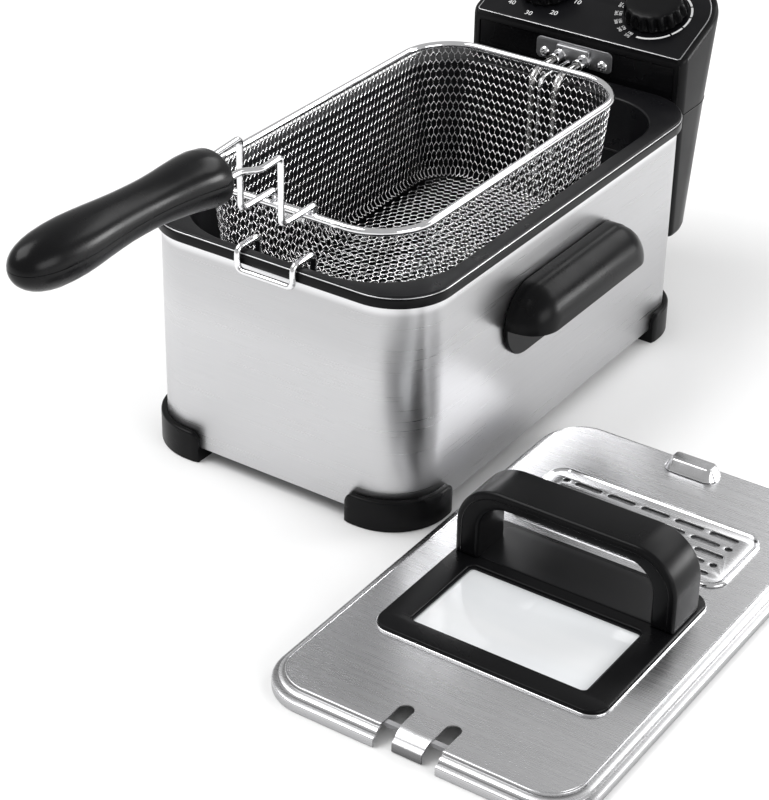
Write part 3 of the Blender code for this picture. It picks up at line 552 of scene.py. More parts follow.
def foot_rings(proud, height, leg):
    """Sections of the front-right foot, from its front end round the corner to its side end."""
    radius = BODY.front_radius
    end_round, sole, inside, under = 0.0070, -0.0120, 0.0004, SHELL_LOW.z - 0.0003
    corner = radius * math.pi / 2
    straight = leg - radius - proud
    lead = [end_round * (1 - math.cos(math.pi / 2 * i / 9)) for i in range(9)]
    stations = [(-straight + d, d) for d in lead]
    stations += [(corner * i / 20, 1) for i in range(21)]
    stations += [(corner + straight - d, d) for d in reversed(lead)]
    rings = []
    for along, from_end in stations:
        depth = min(max(end_round - from_end, 0), end_round)
        drop = end_round - math.sqrt(max(end_round**2 - depth**2, 0))
        top = height - drop
        face = proud - 0.0012 * (depth / end_round) ** 3
        section = [(sole, 0), (face - 0.0006, 0), (face, 0.0006), (face, top - 0.0014)]
        section += [(face - 0.0014 + x, z) for x, z in bow((0, top - 0.0014), 0.0014, 22, 90, 3)]
        section += [(inside, top), (inside, under), (sole, under)]
        angle = min(max(along / corner, 0), 1) * math.pi / 2
        over = max(along - corner, 0) + min(along, 0)
        ring = []
        for offset, z in section:
            x = BODY.half - radius + (radius + offset) * math.sin(angle) + min(over, 0)
            y = BODY.front + radius - (radius + offset) * math.cos(angle) + max(over, 0)
            ring.append((x, y, z))
        rings.append(ring)
    return rings


def feet():
    low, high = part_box("foot_front_right")
    rings = foot_rings(high.x - BODY.half, high.z, high.x - low.x)
    for side_name, side in (("right", 1), ("left", -1)):
        for end_name, end in (("front", 1), ("rear", -1)):
            foot = loft([[(side * x, end * y, z) for x, y, z in ring] for ring in rings])
            node = f"foot_{end_name}_{side_name}"
            own(f"{end_name}_{side_name}_foot", foot, BLACK, "fryer_body", "black_plastic", node)


def stadium(grown, x, low, high, half):
    """An upright outline with half-round ends, for the side handles."""
    radius, centre_z, steps = (high - low) / 2, (high + low) / 2, 24
    points = []
    for side, start in ((1, -90), (-1, 90)):
        for step in range(steps + 1):
            angle = math.radians(start + 180 * step / steps)
            y = side * (half - radius) + (radius + grown) * math.cos(angle)
            points.append((x, y, centre_z + (radius + grown) * math.sin(angle)))
    return points


def side_handles():
    """A backing plate, and a hood that comes straight out, creases and rolls over to its crown."""
    low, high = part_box("side_handle_right")
    base, reach = low.x, high.x
    shape = (low.z, high.z, high.y)
    lip, wall, crease = 0.1070, 0.0028, 0.0070

    def hood(shrink, depth):
        rings = [stadium(-shrink, base + 0.0022, *shape), stadium(-shrink, base + 0.0022 + crease, *shape)]
        if not shrink:
            rings.append(stadium(-shrink - 0.0004, base + 0.0028 + crease, *shape))
        roll = depth - rings[-1][0][0]
        for step in range(1, 13):
            angle = math.pi / 2 * step / 12.6
            x = depth - roll * (1 - math.sin(angle))
            rings.append(stadium(-shrink - 0.0006 - 0.0215 * (1 - math.cos(angle)), x, *shape))
        return rings

    for name, side in (("right", 1), ("left", -1)):
        turn = Matrix.Diagonal((side, 1, 1, 1))
        rings = list(reversed(hood(wall, reach - wall))) + hood(0, reach)
        body = loft(rings)
        body = cut(body, box_mesh((base + 0.0015, -0.1, 0.05), (reach + 0.01, 0.1, lip)))
        backing = [stadium(-0.0012, base, *shape), stadium(0, base + 0.0008, *shape)]
        backing += [stadium(0, base + 0.0022, *shape), stadium(-0.0008, base + 0.0030, *shape)]
        body = cut(body, loft(backing), operation="UNION")
        body.transform(turn)
        if side < 0:
            body.flip_normals()
        own(f"{name}_side_handle", body, BLACK, "fryer_body", "black_plastic", f"side_handle_{name}")


# --- control head -------------------------------------------------------------------------------
def head_top(y, below=0.0):
    return HEAD_TOP_FRONT + (y - HEAD_FRONT) * math.tan(HEAD_SLOPE) - below


def tilted(outline, below):
    return [(x, y, head_top(y, below)) for x, y in outline.points()]


def head_outline(z):
    rear = HEAD_HIGH.y - (head_top(HEAD_HIGH.y) - z) * HEAD_LEAN
    return Outline(HEAD_HIGH.x, HEAD_FRONT, rear, 0.0070, 0.0400)


MOUTH_OF_HEAD = Outline(0.0862, HEAD_FRONT + 0.0004, HEAD_HIGH.y - 0.0050, 0.0030, 0.0350)


def head_shell():
    low, waist, top = head_outline(HEAD_LOW.z), head_outline(0.156), head_outline(head_top(HEAD_HIGH.y))
    wall = 0.0025
    rings = [level(low.grown(-0.006), HEAD_LOW.z + wall), level(low.grown(-wall), HEAD_LOW.z + 0.0055)]
    rings += [level(waist.grown(-wall), 0.156), tilted(top.grown(-wall), 0.009)]
    rings += [tilted(MOUTH_OF_HEAD.grown(-0.0026), 0.0038), tilted(MOUTH_OF_HEAD, 0.0034)]
    rings += [tilted(MOUTH_OF_HEAD, 0.0002), tilted(MOUTH_OF_HEAD.grown(0.0003), 0)]
    for offset, drop in ((-0.0022, 0.0003), (-0.0012, 0.0012), (-0.0005, 0.0026), (0, 0.0050)):
        rings.append(tilted(top.grown(offset), drop))
    rings.append(level(waist, 0.156))
    for offset, rise in ((0, 0.0040), (-0.0011, 0.0012), (-0.0040, 0)):
        rings.append(level(low.grown(offset), HEAD_LOW.z + rise))
    body = loft(rings)
    tools = [box_mesh((-0.0828, 0.18, 0.0638), (0.0828, 0.1965, 0.1922), 0.002)]
    turn = Matrix.Rotation(-math.pi / 2, 4, "X")
    for x, z, radius in ((-0.0350, 0.0850, 0.0078), (0.0350, 0.1000, 0.0046)):
        bore = turned(((radius, -0.02), (radius, 0.02)))
        tools.append(moved(bore, Matrix.Translation((x, head_outline(z).rear, z)) @ turn))
    for row in range(5):
        z = 0.128 + row * 0.0085
        corner = (-0.030, head_outline(z).rear - 0.0013, z)
        tools.append(box_mesh(corner, (0.030, 0.3, z + 0.0032), 0.0008))
    own("head_shell", cut(body, *tools), BLACK_SIDE, "control_head", "black_plastic", "head_housing")
    seam = [(x * 1.0003, y * 1.0001, z) for x, y, z in level(head_outline(0.156), 0.156)[9:-9]]
    own("head_seam", tube_mesh([seam], 0.0004, 6), GLOSS, "control_head", "black_plastic")
    paths = [[(side * 0.0868, HEAD_FRONT - 0.0001, z) for z in (0.066, 0.196)] for side in (-1, 1)]
    own("front_seams", tube_mesh(paths, 0.0004, 6), GLOSS, "control_head", "black_plastic")
    profile = ((0.0001, 0.0009), (0.0022, 0.0008), (0.0030, 0), (0.0030, -0.003), (0.0001, -0.003))
    for index, x in enumerate((-0.055, 0.055)):
        screw = cut(turned(profile, 20), *cross(0.0016, 0.00035, 0.0003))
        place = Matrix.Translation((x, head_outline(0.075).rear - 0.0003, 0.075)) @ turn
        own(f"rear_screw_{index}", moved(screw, place), CHROME, "control_head", "chrome")


def panel_frame(x, v, above=0.0):
    """The tilted panel's own frame: X across, Y up the slope, Z off the panel."""
    origin = Vector((x, HEAD_FRONT, HEAD_TOP_FRONT))
    turn = Euler((HEAD_SLOPE, 0, 0)).to_matrix().to_4x4()
    return Matrix.Translation(origin) @ turn @ Matrix.Translation((0, v, above))


def panel_outline(inset):
    plan = MOUTH_OF_HEAD._replace(rear=MOUTH_OF_HEAD.rear - 0.0012).grown(-0.0003 - inset)
    return [(x, (y - HEAD_FRONT) / math.cos(HEAD_SLOPE)) for x, y in plan.points()]


def control_panel():
    thickness = 0.0026
    holes = [circle(side * KNOB_X, KNOB_V, 0.0036) for side in (-1, 1)]
    holes += [circle(0, v, 0.0040) for v in (POWER_V, HEAT_V)]
    place = panel_frame(0, 0, -thickness / 2)
    face = plate([panel_outline(0.0009)] + holes, thickness, 0.0003, 2)
    own("control_panel", moved(face, place), PANEL, "control_head", "black_gloss", "head_top_panel")
    # The light ring round the panel's edge is a painted highlight: a silver line stands in for the light
    # caught by the edge of the black moulding.
    line = plate([panel_outline(0), panel_outline(0.0007)], thickness, 0.0001, 2)
    own("panel_edge_highlight", moved(line, place), PAINTED_HIGHLIGHT, "control_head", "silver_trim", "panel_trim")
    angles = [step / 5 * 1.4 for step in range(1, 6)]
    dome = [(0.0001, 0.0016)] + [(0.0034 * math.sin(a), 0.0004 + 0.0012 * math.cos(a)) for a in angles]
    dome += [(0.0034, -0.008), (0.0001, -0.008)]
    bezel = ((0.0036, 0), (0.0036, 0.0006), (0.0042, 0.0009), (0.0048, 0.0003), (0.0048, 0))
    for name, v, material, slot, node in (
        ("lamp_power", POWER_V, RED, "red_lens", "power_light"),
        ("lamp_heat", HEAT_V, GREEN, "green_lens", "heat_light"),
    ):
        own(name, moved(turned(dome, 24), panel_frame(0, v)), material, "control_head", slot, node)
        ring = moved(turned(bezel, 28), panel_frame(0, v, 0.00005))
        own(f"{name}_ring", ring, GLOSS, "control_head", "black_gloss")


def knobs():
    """Fluted knobs: scooped flutes below a smooth, slightly domed top."""
    flutes, per = 18, 10
    radius = 0.0242
    height = 0.0140
    count = flutes * per

    def ring(reach, z, scoop=0.0):
        found = []
        for index in range(count):
            angle = 2 * math.pi * index / count
            r = reach - scoop * (0.5 + 0.5 * math.cos(flutes * angle)) ** 1.4
            found.append((r * math.cos(angle), r * math.sin(angle), z))
        return found

    profile = [(0.003, -0.012, 0), (0.003, 0.0012, 0), (radius - 0.0012, 0.0012, 0.0010)]
    profile += [(radius - 0.0002, 0.0018, 0.0026), (radius - 0.0002, 0.0024, 0.0032)]
    profile += [(radius - 0.0008, height * 0.50, 0.0034)]
    profile += [(radius - 0.0013, height * 0.68, 0.0029), (radius - 0.0018, height * 0.80, 0.0019)]
    profile += [(radius - 0.0025, height * 0.89, 0.0008), (radius - 0.0036, height * 0.95, 0.0002)]
    profile += [(radius - 0.0050, height * 0.985, 0), (radius * 0.55, height * 0.995, 0)]
    profile.append((radius * 0.2, height, 0))
    for name, x, turn in (("timer", -KNOB_X, 0), ("thermostat", KNOB_X, math.radians(20))):
        place = panel_frame(x, KNOB_V) @ Matrix.Rotation(turn, 4, "Z")
        mesh = loft([ring(r, z, s) for r, z, s in profile])
        own(f"{name}_dial", moved(mesh, place), BLACK, f"{name}_knob", "black_plastic", f"{name}_knob")
        mark = box_mesh((-0.0006, radius * 0.42, height * 0.980), (0.0006, radius * 0.80, height), 0.0002, 1)
        own(f"{name}_pointer", moved(mark, place), PRINT, f"{name}_knob", "white_plastic")


def lettering(name, text, size, place, body):
    curve = bpy.data.curves.new(name, "FONT")
    curve.body = text
    curve.size = size
    curve.align_x = "CENTER"
    curve.align_y = "CENTER"
    curve.extrude = 0.00004
    curve.resolution_u = 3
    holder = linked(name, curve)
    mesh = baked(holder)
    bpy.data.objects.remove(holder)
    own(name, moved(mesh, place), PRINT, body, "white_plastic")


def arc_strip(name, centre, radius, width, start, end):
    """A flat printed arc on the panel, from one angle to another in degrees."""
    steps = 24
    outer, inner = [], []
    for step in range(steps + 1):
        angle = math.radians(start + (end - start) * step / steps)
        for ring, reach in ((outer, radius + width / 2), (inner, radius - width / 2)):
            ring.append((centre + reach * math.cos(angle), DIAL_V + reach * math.sin(angle)))
    mesh = plate([outer + inner[::-1]], 0.00008)
    own(name, moved(mesh, panel_frame(0, 0, 0.00006)), PRINT, "control_head", "white_plastic")


def dial_marks():
    for index, value in enumerate(("10", "20", "30", "40", "50", "60")):
        angle = math.radians(-16 - 37 * index)
        x, v = -KNOB_X + 0.0304 * math.cos(angle), KNOB_V + 0.0318 * math.sin(angle)
        lettering(f"timer_mark_{value}", value, 0.0062, panel_frame(x, v, 0.0001), "control_head")
    x, v = -KNOB_X + 0.0300 * math.cos(0.42), KNOB_V + 0.0300 * math.sin(0.42)
    lettering("timer_mark_0", "0", 0.0062, panel_frame(x, v, 0.0001), "control_head")
    degrees = (("90", "190"), ("110", "230"), ("130", "265"), ("150", "300"), ("170", "340"), ("190", "375"))
    for index, (inner, outer) in enumerate(degrees):
        angle = math.radians(160 + 18.6 * index)
        turn = Matrix.Rotation(angle + math.pi / 2, 4, "Z")
        for value, reach in ((inner, 0.0262), (outer, 0.0294)):
            x, v = KNOB_X + reach * math.cos(angle), DIAL_V + reach * math.sin(angle)
            lettering(f"heat_mark_{value}", value, 0.0034, panel_frame(x, v, 0.0001) @ turn, "control_head")
    for index, (start, end) in enumerate(((-93, -39), (-36, -16), (-13, 9), (12, 34), (37, 60))):
        arc_strip(f"heat_arc_{index}", KNOB_X, 0.0270, 0.0016, start, end)


def bracket():
    """The element's bracket: rounded plate, raised shroud with soft edges, ferrules and cross-head screws."""
    low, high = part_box("element_bracket")
    face, back = 0.1922, high.y
    thickness = back - face
    middle = (low.z + high.z) / 2
    half_z = (high.z - low.z) / 2 + 0.0007
    turn = Matrix.Rotation(math.pi / 2, 4, "X")
    rear = Matrix.Translation((0, face + thickness / 2, middle)) @ turn
    shape = Outline(high.x, -half_z, half_z, 0.0040, 0.0040)
    body = moved(plate([shape.points(8)], thickness, 0.0003, 2), rear)
    shroud_low, shroud_high = (-0.0140, 0.1892, low.z + 0.0014), (0.0140, face + 0.0008, high.z - 0.0010)
    body = cut(body, box_mesh(shroud_low, shroud_high, 0.0016, 4), operation="UNION")
    own("bracket_plate", body, BRACKET, "control_head", "brushed_steel", "element_bracket")
    for side, name in ((-1, "left"), (1, "right")):
        profile = ((0.0034, -0.0030), (0.0034, 0.0112), (0.0037, 0.0118), (0.0042, 0.0118))
        profile += ((0.0047, 0.0112), (0.0047, 0.0030), (0.0056, 0.0022), (0.0058, 0.0008))
        profile += ((0.0058, -0.0030), (0.0034, -0.0030))
        ferrule = turned(profile)
        place = Matrix.Translation((side * 0.0100, 0.1915, 0.1805)) @ turn
        own(f"ferrule_{name}", moved(ferrule, place), CHROME, "control_head", "brushed_steel")
        profile = ((0.0001, 0.0022), (0.0018, 0.0021), (0.0032, 0.0014), (0.0040, 0.0003), (0.0040, 0))
        head = turned(profile + ((0.0016, 0), (0.0016, -0.0011), (0.0001, -0.0011)))
        place = Matrix.Translation((side * 0.0245, 0.1919, 0.1800)) @ turn
        made = moved(cut(head, *cross(0.0026, 0.0005, 0.0008)), place)
        own(f"{name}_bracket_screw", made, CHROME, "control_head", "chrome", f"bracket_screw_{name}")


def element():
    drop, z = 0.1500, 0.0350
    half = (
        (0.0100, 0.1803, 0.1805),
        (0.0100, drop, 0.1805),
        (0.0100, drop, z),
        (0.0100, 0.1180, z),
        (0.0620, 0.1180, z),
        (0.0620, -0.1300, z),
        (0.0240, -0.1300, z),
        (0.0240, 0.0900, z),
    )
    corners = list(half) + [(-x, y, z) for x, y, z in reversed(half)]
    tube = tube_mesh([bent(corners, 0.0120, 8)], 0.0032, 14)
    own("element_loop", tube, ELEMENT, "control_head", "dark_steel", "heating_element")
    lead = bent(((0, 0.1846, 0.1800), (0, 0.1440, 0.1800), (0, 0.1440, 0.1103)), 0.008, 8)
    own("sensor_lead", tube_mesh([lead], 0.0015, 12), CHROME, "control_head", "chrome", "sensor_tube")
    shoulder = [(0.0034 * math.sin(a), 0.1072 + 0.0028 * math.cos(a)) for a in (0.6, 1.1, 1.57)]
    profile = [(0.0012, 0.110), *shoulder, (0.0034, 0.050), (0.0026, 0.0484), (0.0004, 0.0480)]
    bulb = moved(turned(profile, 20), Matrix.Translation((0, 0.1440, 0)))
    own("sensor_probe", bulb, CHROME, "control_head", "chrome", "sensor_bulb")


# --- basket -------------------------------------------------------------------------------------
def basket_wall(t):
    """(offset, z) down the basket's side: t 0 under the rim wire, 1 where the floor begins."""
    top, knee, floor = RIM_Z - 0.0030, NET_FLOOR + 0.0070, NET_FLOOR + 0.0008
    taper = 0.0090
    straight = 0.90
    if t < straight:
        k = t / straight
        return -taper * k, top + (knee - top) * k
    k = (t - straight) / (1 - straight) * math.pi / 2
    return -taper - 0.0065 * (1 - math.cos(k)), knee - (knee - floor) * math.sin(k)


def net():
    """The woven wire bowl: rows of zigzag wires joined by short upright ones, and a floor of the same net."""
    radius, sides = 0.00038, 5
    verts, faces = [], []
    length = sum(math.dist(a, b) for a, b in zip(BASKET.points(), BASKET.points()[1:] + BASKET.points()[:1]))
    columns = 2 * round(length / 0.0047)
    rows, swing = 16, 0.24

    table = BASKET.points(40)
    reach = [0.0]
    for a, b in zip(table, table[1:] + table[:1]):
        reach.append(reach[-1] + math.dist(a, b))

    def around(share, offset):
        target = share % 1.0 * reach[-1]
        low = 0
        high = len(table)
        while high - low > 1:
            middle = (low + high) // 2
            if reach[middle] <= target:
                low = middle
            else:
                high = middle
        a, b = Vector(table[low]), Vector(table[(low + 1) % len(table)])
        k = (target - reach[low]) / max(reach[low + 1] - reach[low], 1e-9)
        point = a.lerp(b, k)
        along = (b - a).normalized()
        return point + Vector((along.y, -along.x)) * offset

    def spot(column, row, lift):
        t = (row + 0.5 + lift) / rows
        offset, z = basket_wall(min(max(t, 0), 1))
        place = around(column / columns, offset)
        return (place.x, place.y, z)

    for row in range(rows):
        ring = [spot(c, row, swing if (c + row) % 2 else -swing) for c in range(columns)]
        add_tube(verts, faces, ring, radius, sides, True)
        for c in range(columns):
            if (c + row) % 2 and row < rows - 1:
                link = (spot(c, row, swing), spot(c, row + 1, -swing))
                add_tube(verts, faces, link, radius, sides, caps=False)
            if (c + row) % 2 == 0 and row == 0:
                add_tube(verts, faces, (spot(c, 0, -swing), spot(c, 0, -0.5)), radius, sides, caps=False)
    offset, z = basket_wall(1)
    floor = BASKET.grown(offset + 0.0010)
    step_x, step_y, zig = 0.0028, 0.0055, 0.0014

    def inside(x, y):
        dx = max(abs(x) - (floor.half - floor.front_radius), 0)
        dy = max(floor.front + floor.front_radius - y, y - floor.rear + floor.rear_radius, 0)
        return dx * dx + dy * dy <= floor.front_radius**2

    nx, ny = int(floor.half / step_x) + 1, int((floor.rear - floor.front) / step_y) + 1
    for j in range(ny + 1):
        y0 = floor.front + j * step_y
        run = []
        for i in range(-nx, nx + 1):
            x, y = i * step_x, y0 + (zig if (i + j) % 2 else -zig)
            if inside(x, y):
                run.append((x, y, z))
            else:
                if len(run) > 1:
                    add_tube(verts, faces, run, radius, sides)
                run = []
            if (i + j) % 2 and inside(x, y) and inside(x, y0 + step_y - zig):
                add_tube(verts, faces, ((x, y, z), (x, y0 + step_y - zig, z)), radius, sides, caps=False)
        if len(run) > 1:
            add_tube(verts, faces, run, radius, sides)
    mesh = bpy.data.meshes.new("basket_net")
    mesh.from_pydata(verts, [], faces)
    mesh.shade_smooth()
    own("basket_net", mesh, CHROME, "basket", "chrome", "basket_mesh")


def basket():
    net()
    ring = level(BASKET, RIM_Z, 32)
    own("rim_wire", tube_mesh([ring], 0.0026, 18, True), CHROME, "basket", "chrome", "basket_rim")
    hook_low, hook_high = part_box("drain_hook")
    x, outside, top = hook_high.x - WIRE, hook_low.y + WIRE, hook_high.z - WIRE
    inside, bottom = -0.1680, 0.1600
    prong = [(-0.1627, 0.1480), (-0.1645, 0.1500), (inside, bottom)]
    prong += [(inside, top), (outside, top), (outside, bottom)]
    corners = [(x, y, z) for y, z in prong] + [(-x, y, z) for y, z in reversed(prong)]
    hook = tube_mesh([bent(corners, 0.0050, 7)], WIRE, 16)
    own("hook_wire", hook, CHROME, "basket", "chrome", "drain_hook")
    low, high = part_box("handle_bracket")
    lug = box_mesh(low, high, 0.0012, 3)
    own("pivot_lug", lug, POLISHED, "basket", "dark_steel", "handle_bracket")


def handle():
    pin_y, pin_z = -0.1580, 0.1930
    for name, side, drop in (("right", 1, 0.0030), ("left", -1, -0.0008)):
        wide, narrow = side * 0.0155, side * 0.0105
        over = 0.2045 - min(drop, 0.0010)
        corners = [
            (side * 0.0040, pin_y, pin_z),
            (wide, pin_y, pin_z),
            (wide, pin_y, over),
            (wide, -0.1935, over),
            (wide, -0.1935, 0.2525 - drop),
        ]
        if drop > 0.001:
            corners.append((wide, -0.2140, 0.2515 - drop))
            corners.append((narrow, -0.2270, 0.2540 - drop))
        else:
            corners.append((narrow, -0.2360, 0.2545))
        corners.append((narrow, -0.2700, corners[-1][2]))
        wire = tube_mesh([bent(corners, 0.0045, 8)], WIRE, 16)
        own(f"{name}_wire", wire, CHROME, "basket_handle", "chrome", f"handle_wire_{name}")


GRIP = (
    (-0.2408, 0.0150, -0.0014),
    (-0.2411, 0.0163, -0.0014),
    (-0.2420, 0.0174, -0.0012),
    (-0.2440, 0.0181, -0.0007),
    (-0.2540, 0.0182, 0.0011),
    (-0.2642, 0.0174, 0.0024),
    (-0.2745, 0.0164, 0.0031),
    (-0.2848, 0.0155, 0.0036),
    (-0.2950, 0.0148, 0.0041),
    (-0.3055, 0.0146, 0.0045),
    (-0.3158, 0.0147, 0.0048),
    (-0.3261, 0.0150, 0.0051),
    (-0.3365, 0.0157, 0.0052),
    (-0.3468, 0.0165, 0.0053),
    (-0.3571, 0.0173, 0.0052),
    (-0.3674, 0.0178, 0.0052),
    (-0.3780, 0.0177, 0.0053),
    (-0.3880, 0.0170, 0.0054),
    (-0.3940, 0.0160, 0.0056),
    (-0.3990, 0.0147, 0.0058),
    (-0.4030, 0.0132, 0.0060),
    (-0.4065, 0.0113, 0.0062),
    (-0.4092, 0.0092, 0.0063),
    (-0.4110, 0.0072, 0.0064),
    (-0.4123, 0.0048, 0.0065),
    (-0.4130, 0.0020, 0.0065),
)


def grip():
    """Two shells with a fine groove between them."""
    axis = 0.2518
    steps = 32
    for name, side, slot_z in (("upper", 1, 0.0), ("lower", -1, -0.0003)):
        rings = []
        for y, radius, rise in GRIP:
            centre = axis + rise + slot_z
            ring = []
            for step in range(steps + 1):
                angle = math.pi * step / steps
                round_off = 0.985 + 0.015 * min(1, math.sin(angle) / 0.06)
                z = centre + side * radius * math.sin(angle)
                ring.append((radius * math.cos(angle) * round_off, y, z))
            rings.append(ring)
        mesh = loft(rings, angle=50)
        own(f"{name}_grip", mesh, GLOSS, "basket_handle", "black_gloss", f"grip_{name}")


# --- lid ----------------------------------------------------------------------------------------
def lid_place(x=0.0, v=0.0, z=0.0):
    """The lid's own frame: X from its middle, V from the front edge of its flat top."""
    return Matrix.Translation((LID_X + x, LID_Y + LID_STEP + v, z))


def lid_panel():
    top = LID_TOP
    inset = LID_STEP
    profile = [(-inset - 0.0010, top), (-inset - 0.0007, top - 0.0005)]
    profile += [(-inset - 0.0003, top - 0.0005), (-inset, top)]
    profile += [(-inset + 0.0006 * math.sin(a), top - 0.0006 * (1 - math.cos(a))) for a in (0.5, 1.0, 1.5)]
    profile.append((-inset + 0.0007, top - 0.0020))
    for offset, drop in (
        *((-0.0064, 0.0024), (-0.0046, 0.0027), (-0.0041, 0.0031), (-0.0039, 0.0047)),
        *((-0.0034, 0.0053), (-0.0010, 0.0057), (-0.0003, 0.0061), (0, 0.0067)),
    ):
        profile.append((offset, top - drop))
    profile += [(0, 0.0004), (-0.0003, 0), (-0.0009, 0), (-0.0010, 0.0048), (-0.0050, 0.0056)]
    profile += [(-0.0054, 0.0080), (-0.0092, 0.0088), (-0.0096, 0.0106), (-0.0105, top - 0.001)]
    rings = [level(LID.grown(o), z) for o, z in profile]
    body = loft(rings)
    tools = []
    for half, front, rear in ((0.0680, 0.0915, 0.1745), (0.0720, 0.2390, 0.2950)):
        hole = Outline(half, front, rear, 0.006, 0.006)
        tools.append(loft((level(hole, 0.005, 8), level(hole, 0.02, 8))))
    notch = Outline(0.0050, -0.0400, LID_STEP + 0.0230, 0.0020, 0.0049)
    for side in (-1, 1):
        tools.append(loft([level(notch, z, 10, (side * 0.016, 0)) for z in (-0.01, 0.03)]))
    tools.append(box_mesh((-0.0112, -0.02, -0.01), (0.0112, LID_STEP + 0.0080, 0.03)))
    body = cut(body, *tools)
    body.transform(Matrix.Translation((LID_X, LID_Y, 0)))
    own("lid_sheet", body, STEEL_TOP, "lid", "brushed_steel", "lid_panel")
    path = [(0.0080, top)]
    for angle in (0.2, 0.4, 0.6, 0.8, 1.0):
        path.append((0.0080 - 0.0120 * math.sin(angle), top - 0.0070 * (1 - math.cos(angle))))
    path += [(-0.0030, 0.0078), (-0.0046, 0.0074), (-0.0052, 0.0068), (-0.0054, 0.0056), (-0.0054, 0.0006)]
    sections = []
    for index, (v, z) in enumerate(path):
        before, after = path[max(index - 1, 0)], path[min(index + 1, len(path) - 1)]
        along = Vector((after[0] - before[0], after[1] - before[1])).normalized()
        lean = 0.0009 if along.x > 0 else -0.0009
        under = (v + along.y * lean, z + along.x * 0.0009)
        half = 0.0108 - 0.0008 * min(index / 6, 1)
        sections.append([(-half, v, z), (half, v, z), (half, *under), (-half, *under)])
    tab = loft(sections)
    # The tab's steel is the lid's steel with its own painted highlight and painted shade by height.
    own("notch_tab", moved(tab, lid_place()), STEEL_TAB, "lid", "brushed_steel")


def lid_window():
    low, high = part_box("window_frame")
    thickness = high.z - low.z
    outer = Outline(0.0785, 0.0730, 0.2130, 0.0120, 0.0120)
    light = Outline(0.0610, 0.0890, 0.1590, 0.0040, 0.0040)
    shape = plate([outer.points(12), light.points(8)], thickness, 0.0009, 3)
    shape.transform(lid_place(z=low.z + thickness / 2))
    own("window_surround", shape, BLACK, "lid", "black_gloss", "window_frame")
    bead = [(x, y, 0) for x, y in outer.grown(0.0007).points(12)]
    ring = moved(tube_mesh([bead], 0.0007, 8, True), lid_place(z=LID_TOP + 0.0004))
    own("window_bead", ring, POLISHED, "lid", "brushed_steel")
    lip = plate([light.grown(0.0006).points(8), light.grown(-0.0012).points(8)], 0.0012, 0.0003, 2)
    own("window_lip", moved(lip, lid_place(z=LID_TOP + 0.0008)), RECESS, "lid", "black_gloss")
    pane_low, pane_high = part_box("window_glass")
    pane = plate([light.grown(0.0045).points(8)], pane_high.z - pane_low.z, 0.0003, 2)
    pane.transform(lid_place(z=(pane_low.z + pane_high.z) / 2))
    own("window_pane", pane, GLASS, "lid", "window_glass", "window_glass")
    back = Outline(0.0640, 0.1680, 0.2085, 0.0015, 0.0060)
    inlay = plate([back.points(8)], 0.0010, 0.0003, 2)
    own("window_back_plate", moved(inlay, lid_place(z=high.z + 0.0001)), RECESS, "lid", "black_gloss")


def lid_handle():
    low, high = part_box("lid_handle")
    foot, top = low.z, high.z
    outer = Outline(0.0770, foot - 0.0305, top, 0.0300, 0.0300)
    inner = Outline(0.0610, foot - 0.0205, top - 0.0110, 0.0200, 0.0200)
    steps = 14
    outer_arc = outer.points(steps)[steps + 1 : 3 * steps + 3]
    inner_arc = inner.points(steps)[steps + 1 : 3 * steps + 3]
    loop = [(outer.half, foot), *outer_arc, (-outer.half, foot)]
    loop += [(-inner.half, foot), *reversed(inner_arc), (inner.half, foot)]
    depth = high.y - low.y
    arch = plate([loop], depth, 0.0026, 5)
    place = Matrix.Translation((LID_X, (low.y + high.y) / 2, 0)) @ Matrix.Rotation(math.pi / 2, 4, "X")
    own("lid_arch", moved(arch, place), BLACK, "lid", "black_gloss", "lid_handle")
    groove = [(x, 0, z) for x, z in outer.grown(-0.0046).points(steps)[steps + 1 : 3 * steps + 3]]
    groove = [(outer.half - 0.0046, 0, foot + 0.001)] + groove + [(-outer.half + 0.0046, 0, foot + 0.001)]
    line = tube_mesh([groove], 0.0005, 6)
    own("arch_line", moved(line, Matrix.Translation((LID_X, low.y + 0.0001, 0))), GLOSS, "lid", "black_gloss")


def slot_loop(x, y, length, width):
    points, steps = [], 8
    for side, start in ((1, -90), (-1, 90)):
        centre = x + side * (length - width) / 2
        for step in range(steps + 1):
            angle = math.radians(start + 180 * step / steps)
            points.append((centre + width / 2 * math.cos(angle), y + width / 2 * math.sin(angle)))
    return points


def vent():
    border = Outline(0.0775, 0.2240, 0.2930, 0.0130, 0.0130)
    low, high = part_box("vent_frame")
    profile = [(0, low.z)]
    for angle in (0.5, 1.0, 1.57, 2.1, 2.7):
        profile.append((-0.0018 + 0.0018 * math.cos(angle), low.z + 0.0017 * math.sin(angle)))
    profile += [(-0.0040, low.z + 0.0004), (-0.0040, low.z)]
    ring = sweep(border, profile)
    own("vent_border", moved(ring, lid_place()), POLISHED, "lid", "brushed_steel", "vent_frame")
    pitch_x, pitch_y, length, width = 0.02475, 0.01062, 0.0204, 0.0052
    holes = []
    for row in range(5):
        y = 0.2790 - row * pitch_y
        shift = 0.0040 if row % 2 == 0 else -0.0040
        holes += [slot_loop(shift + column * pitch_x, y, length, width) for column in range(-2, 3)]
        holes.append(circle(-0.0620 if row % 2 == 0 else 0.0620, y, width / 2, 20))
    cover_low, cover_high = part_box("vent_cover")
    edge = border.grown(-0.0042).points(12)
    sheet = plate([edge] + holes, cover_high.z - cover_low.z, 0.0002, 2)
    sheet.transform(lid_place(z=(cover_low.z + cover_high.z) / 2))
    own("vent_sheet", sheet, STEEL_TOP, "lid", "brushed_steel", "vent_cover")


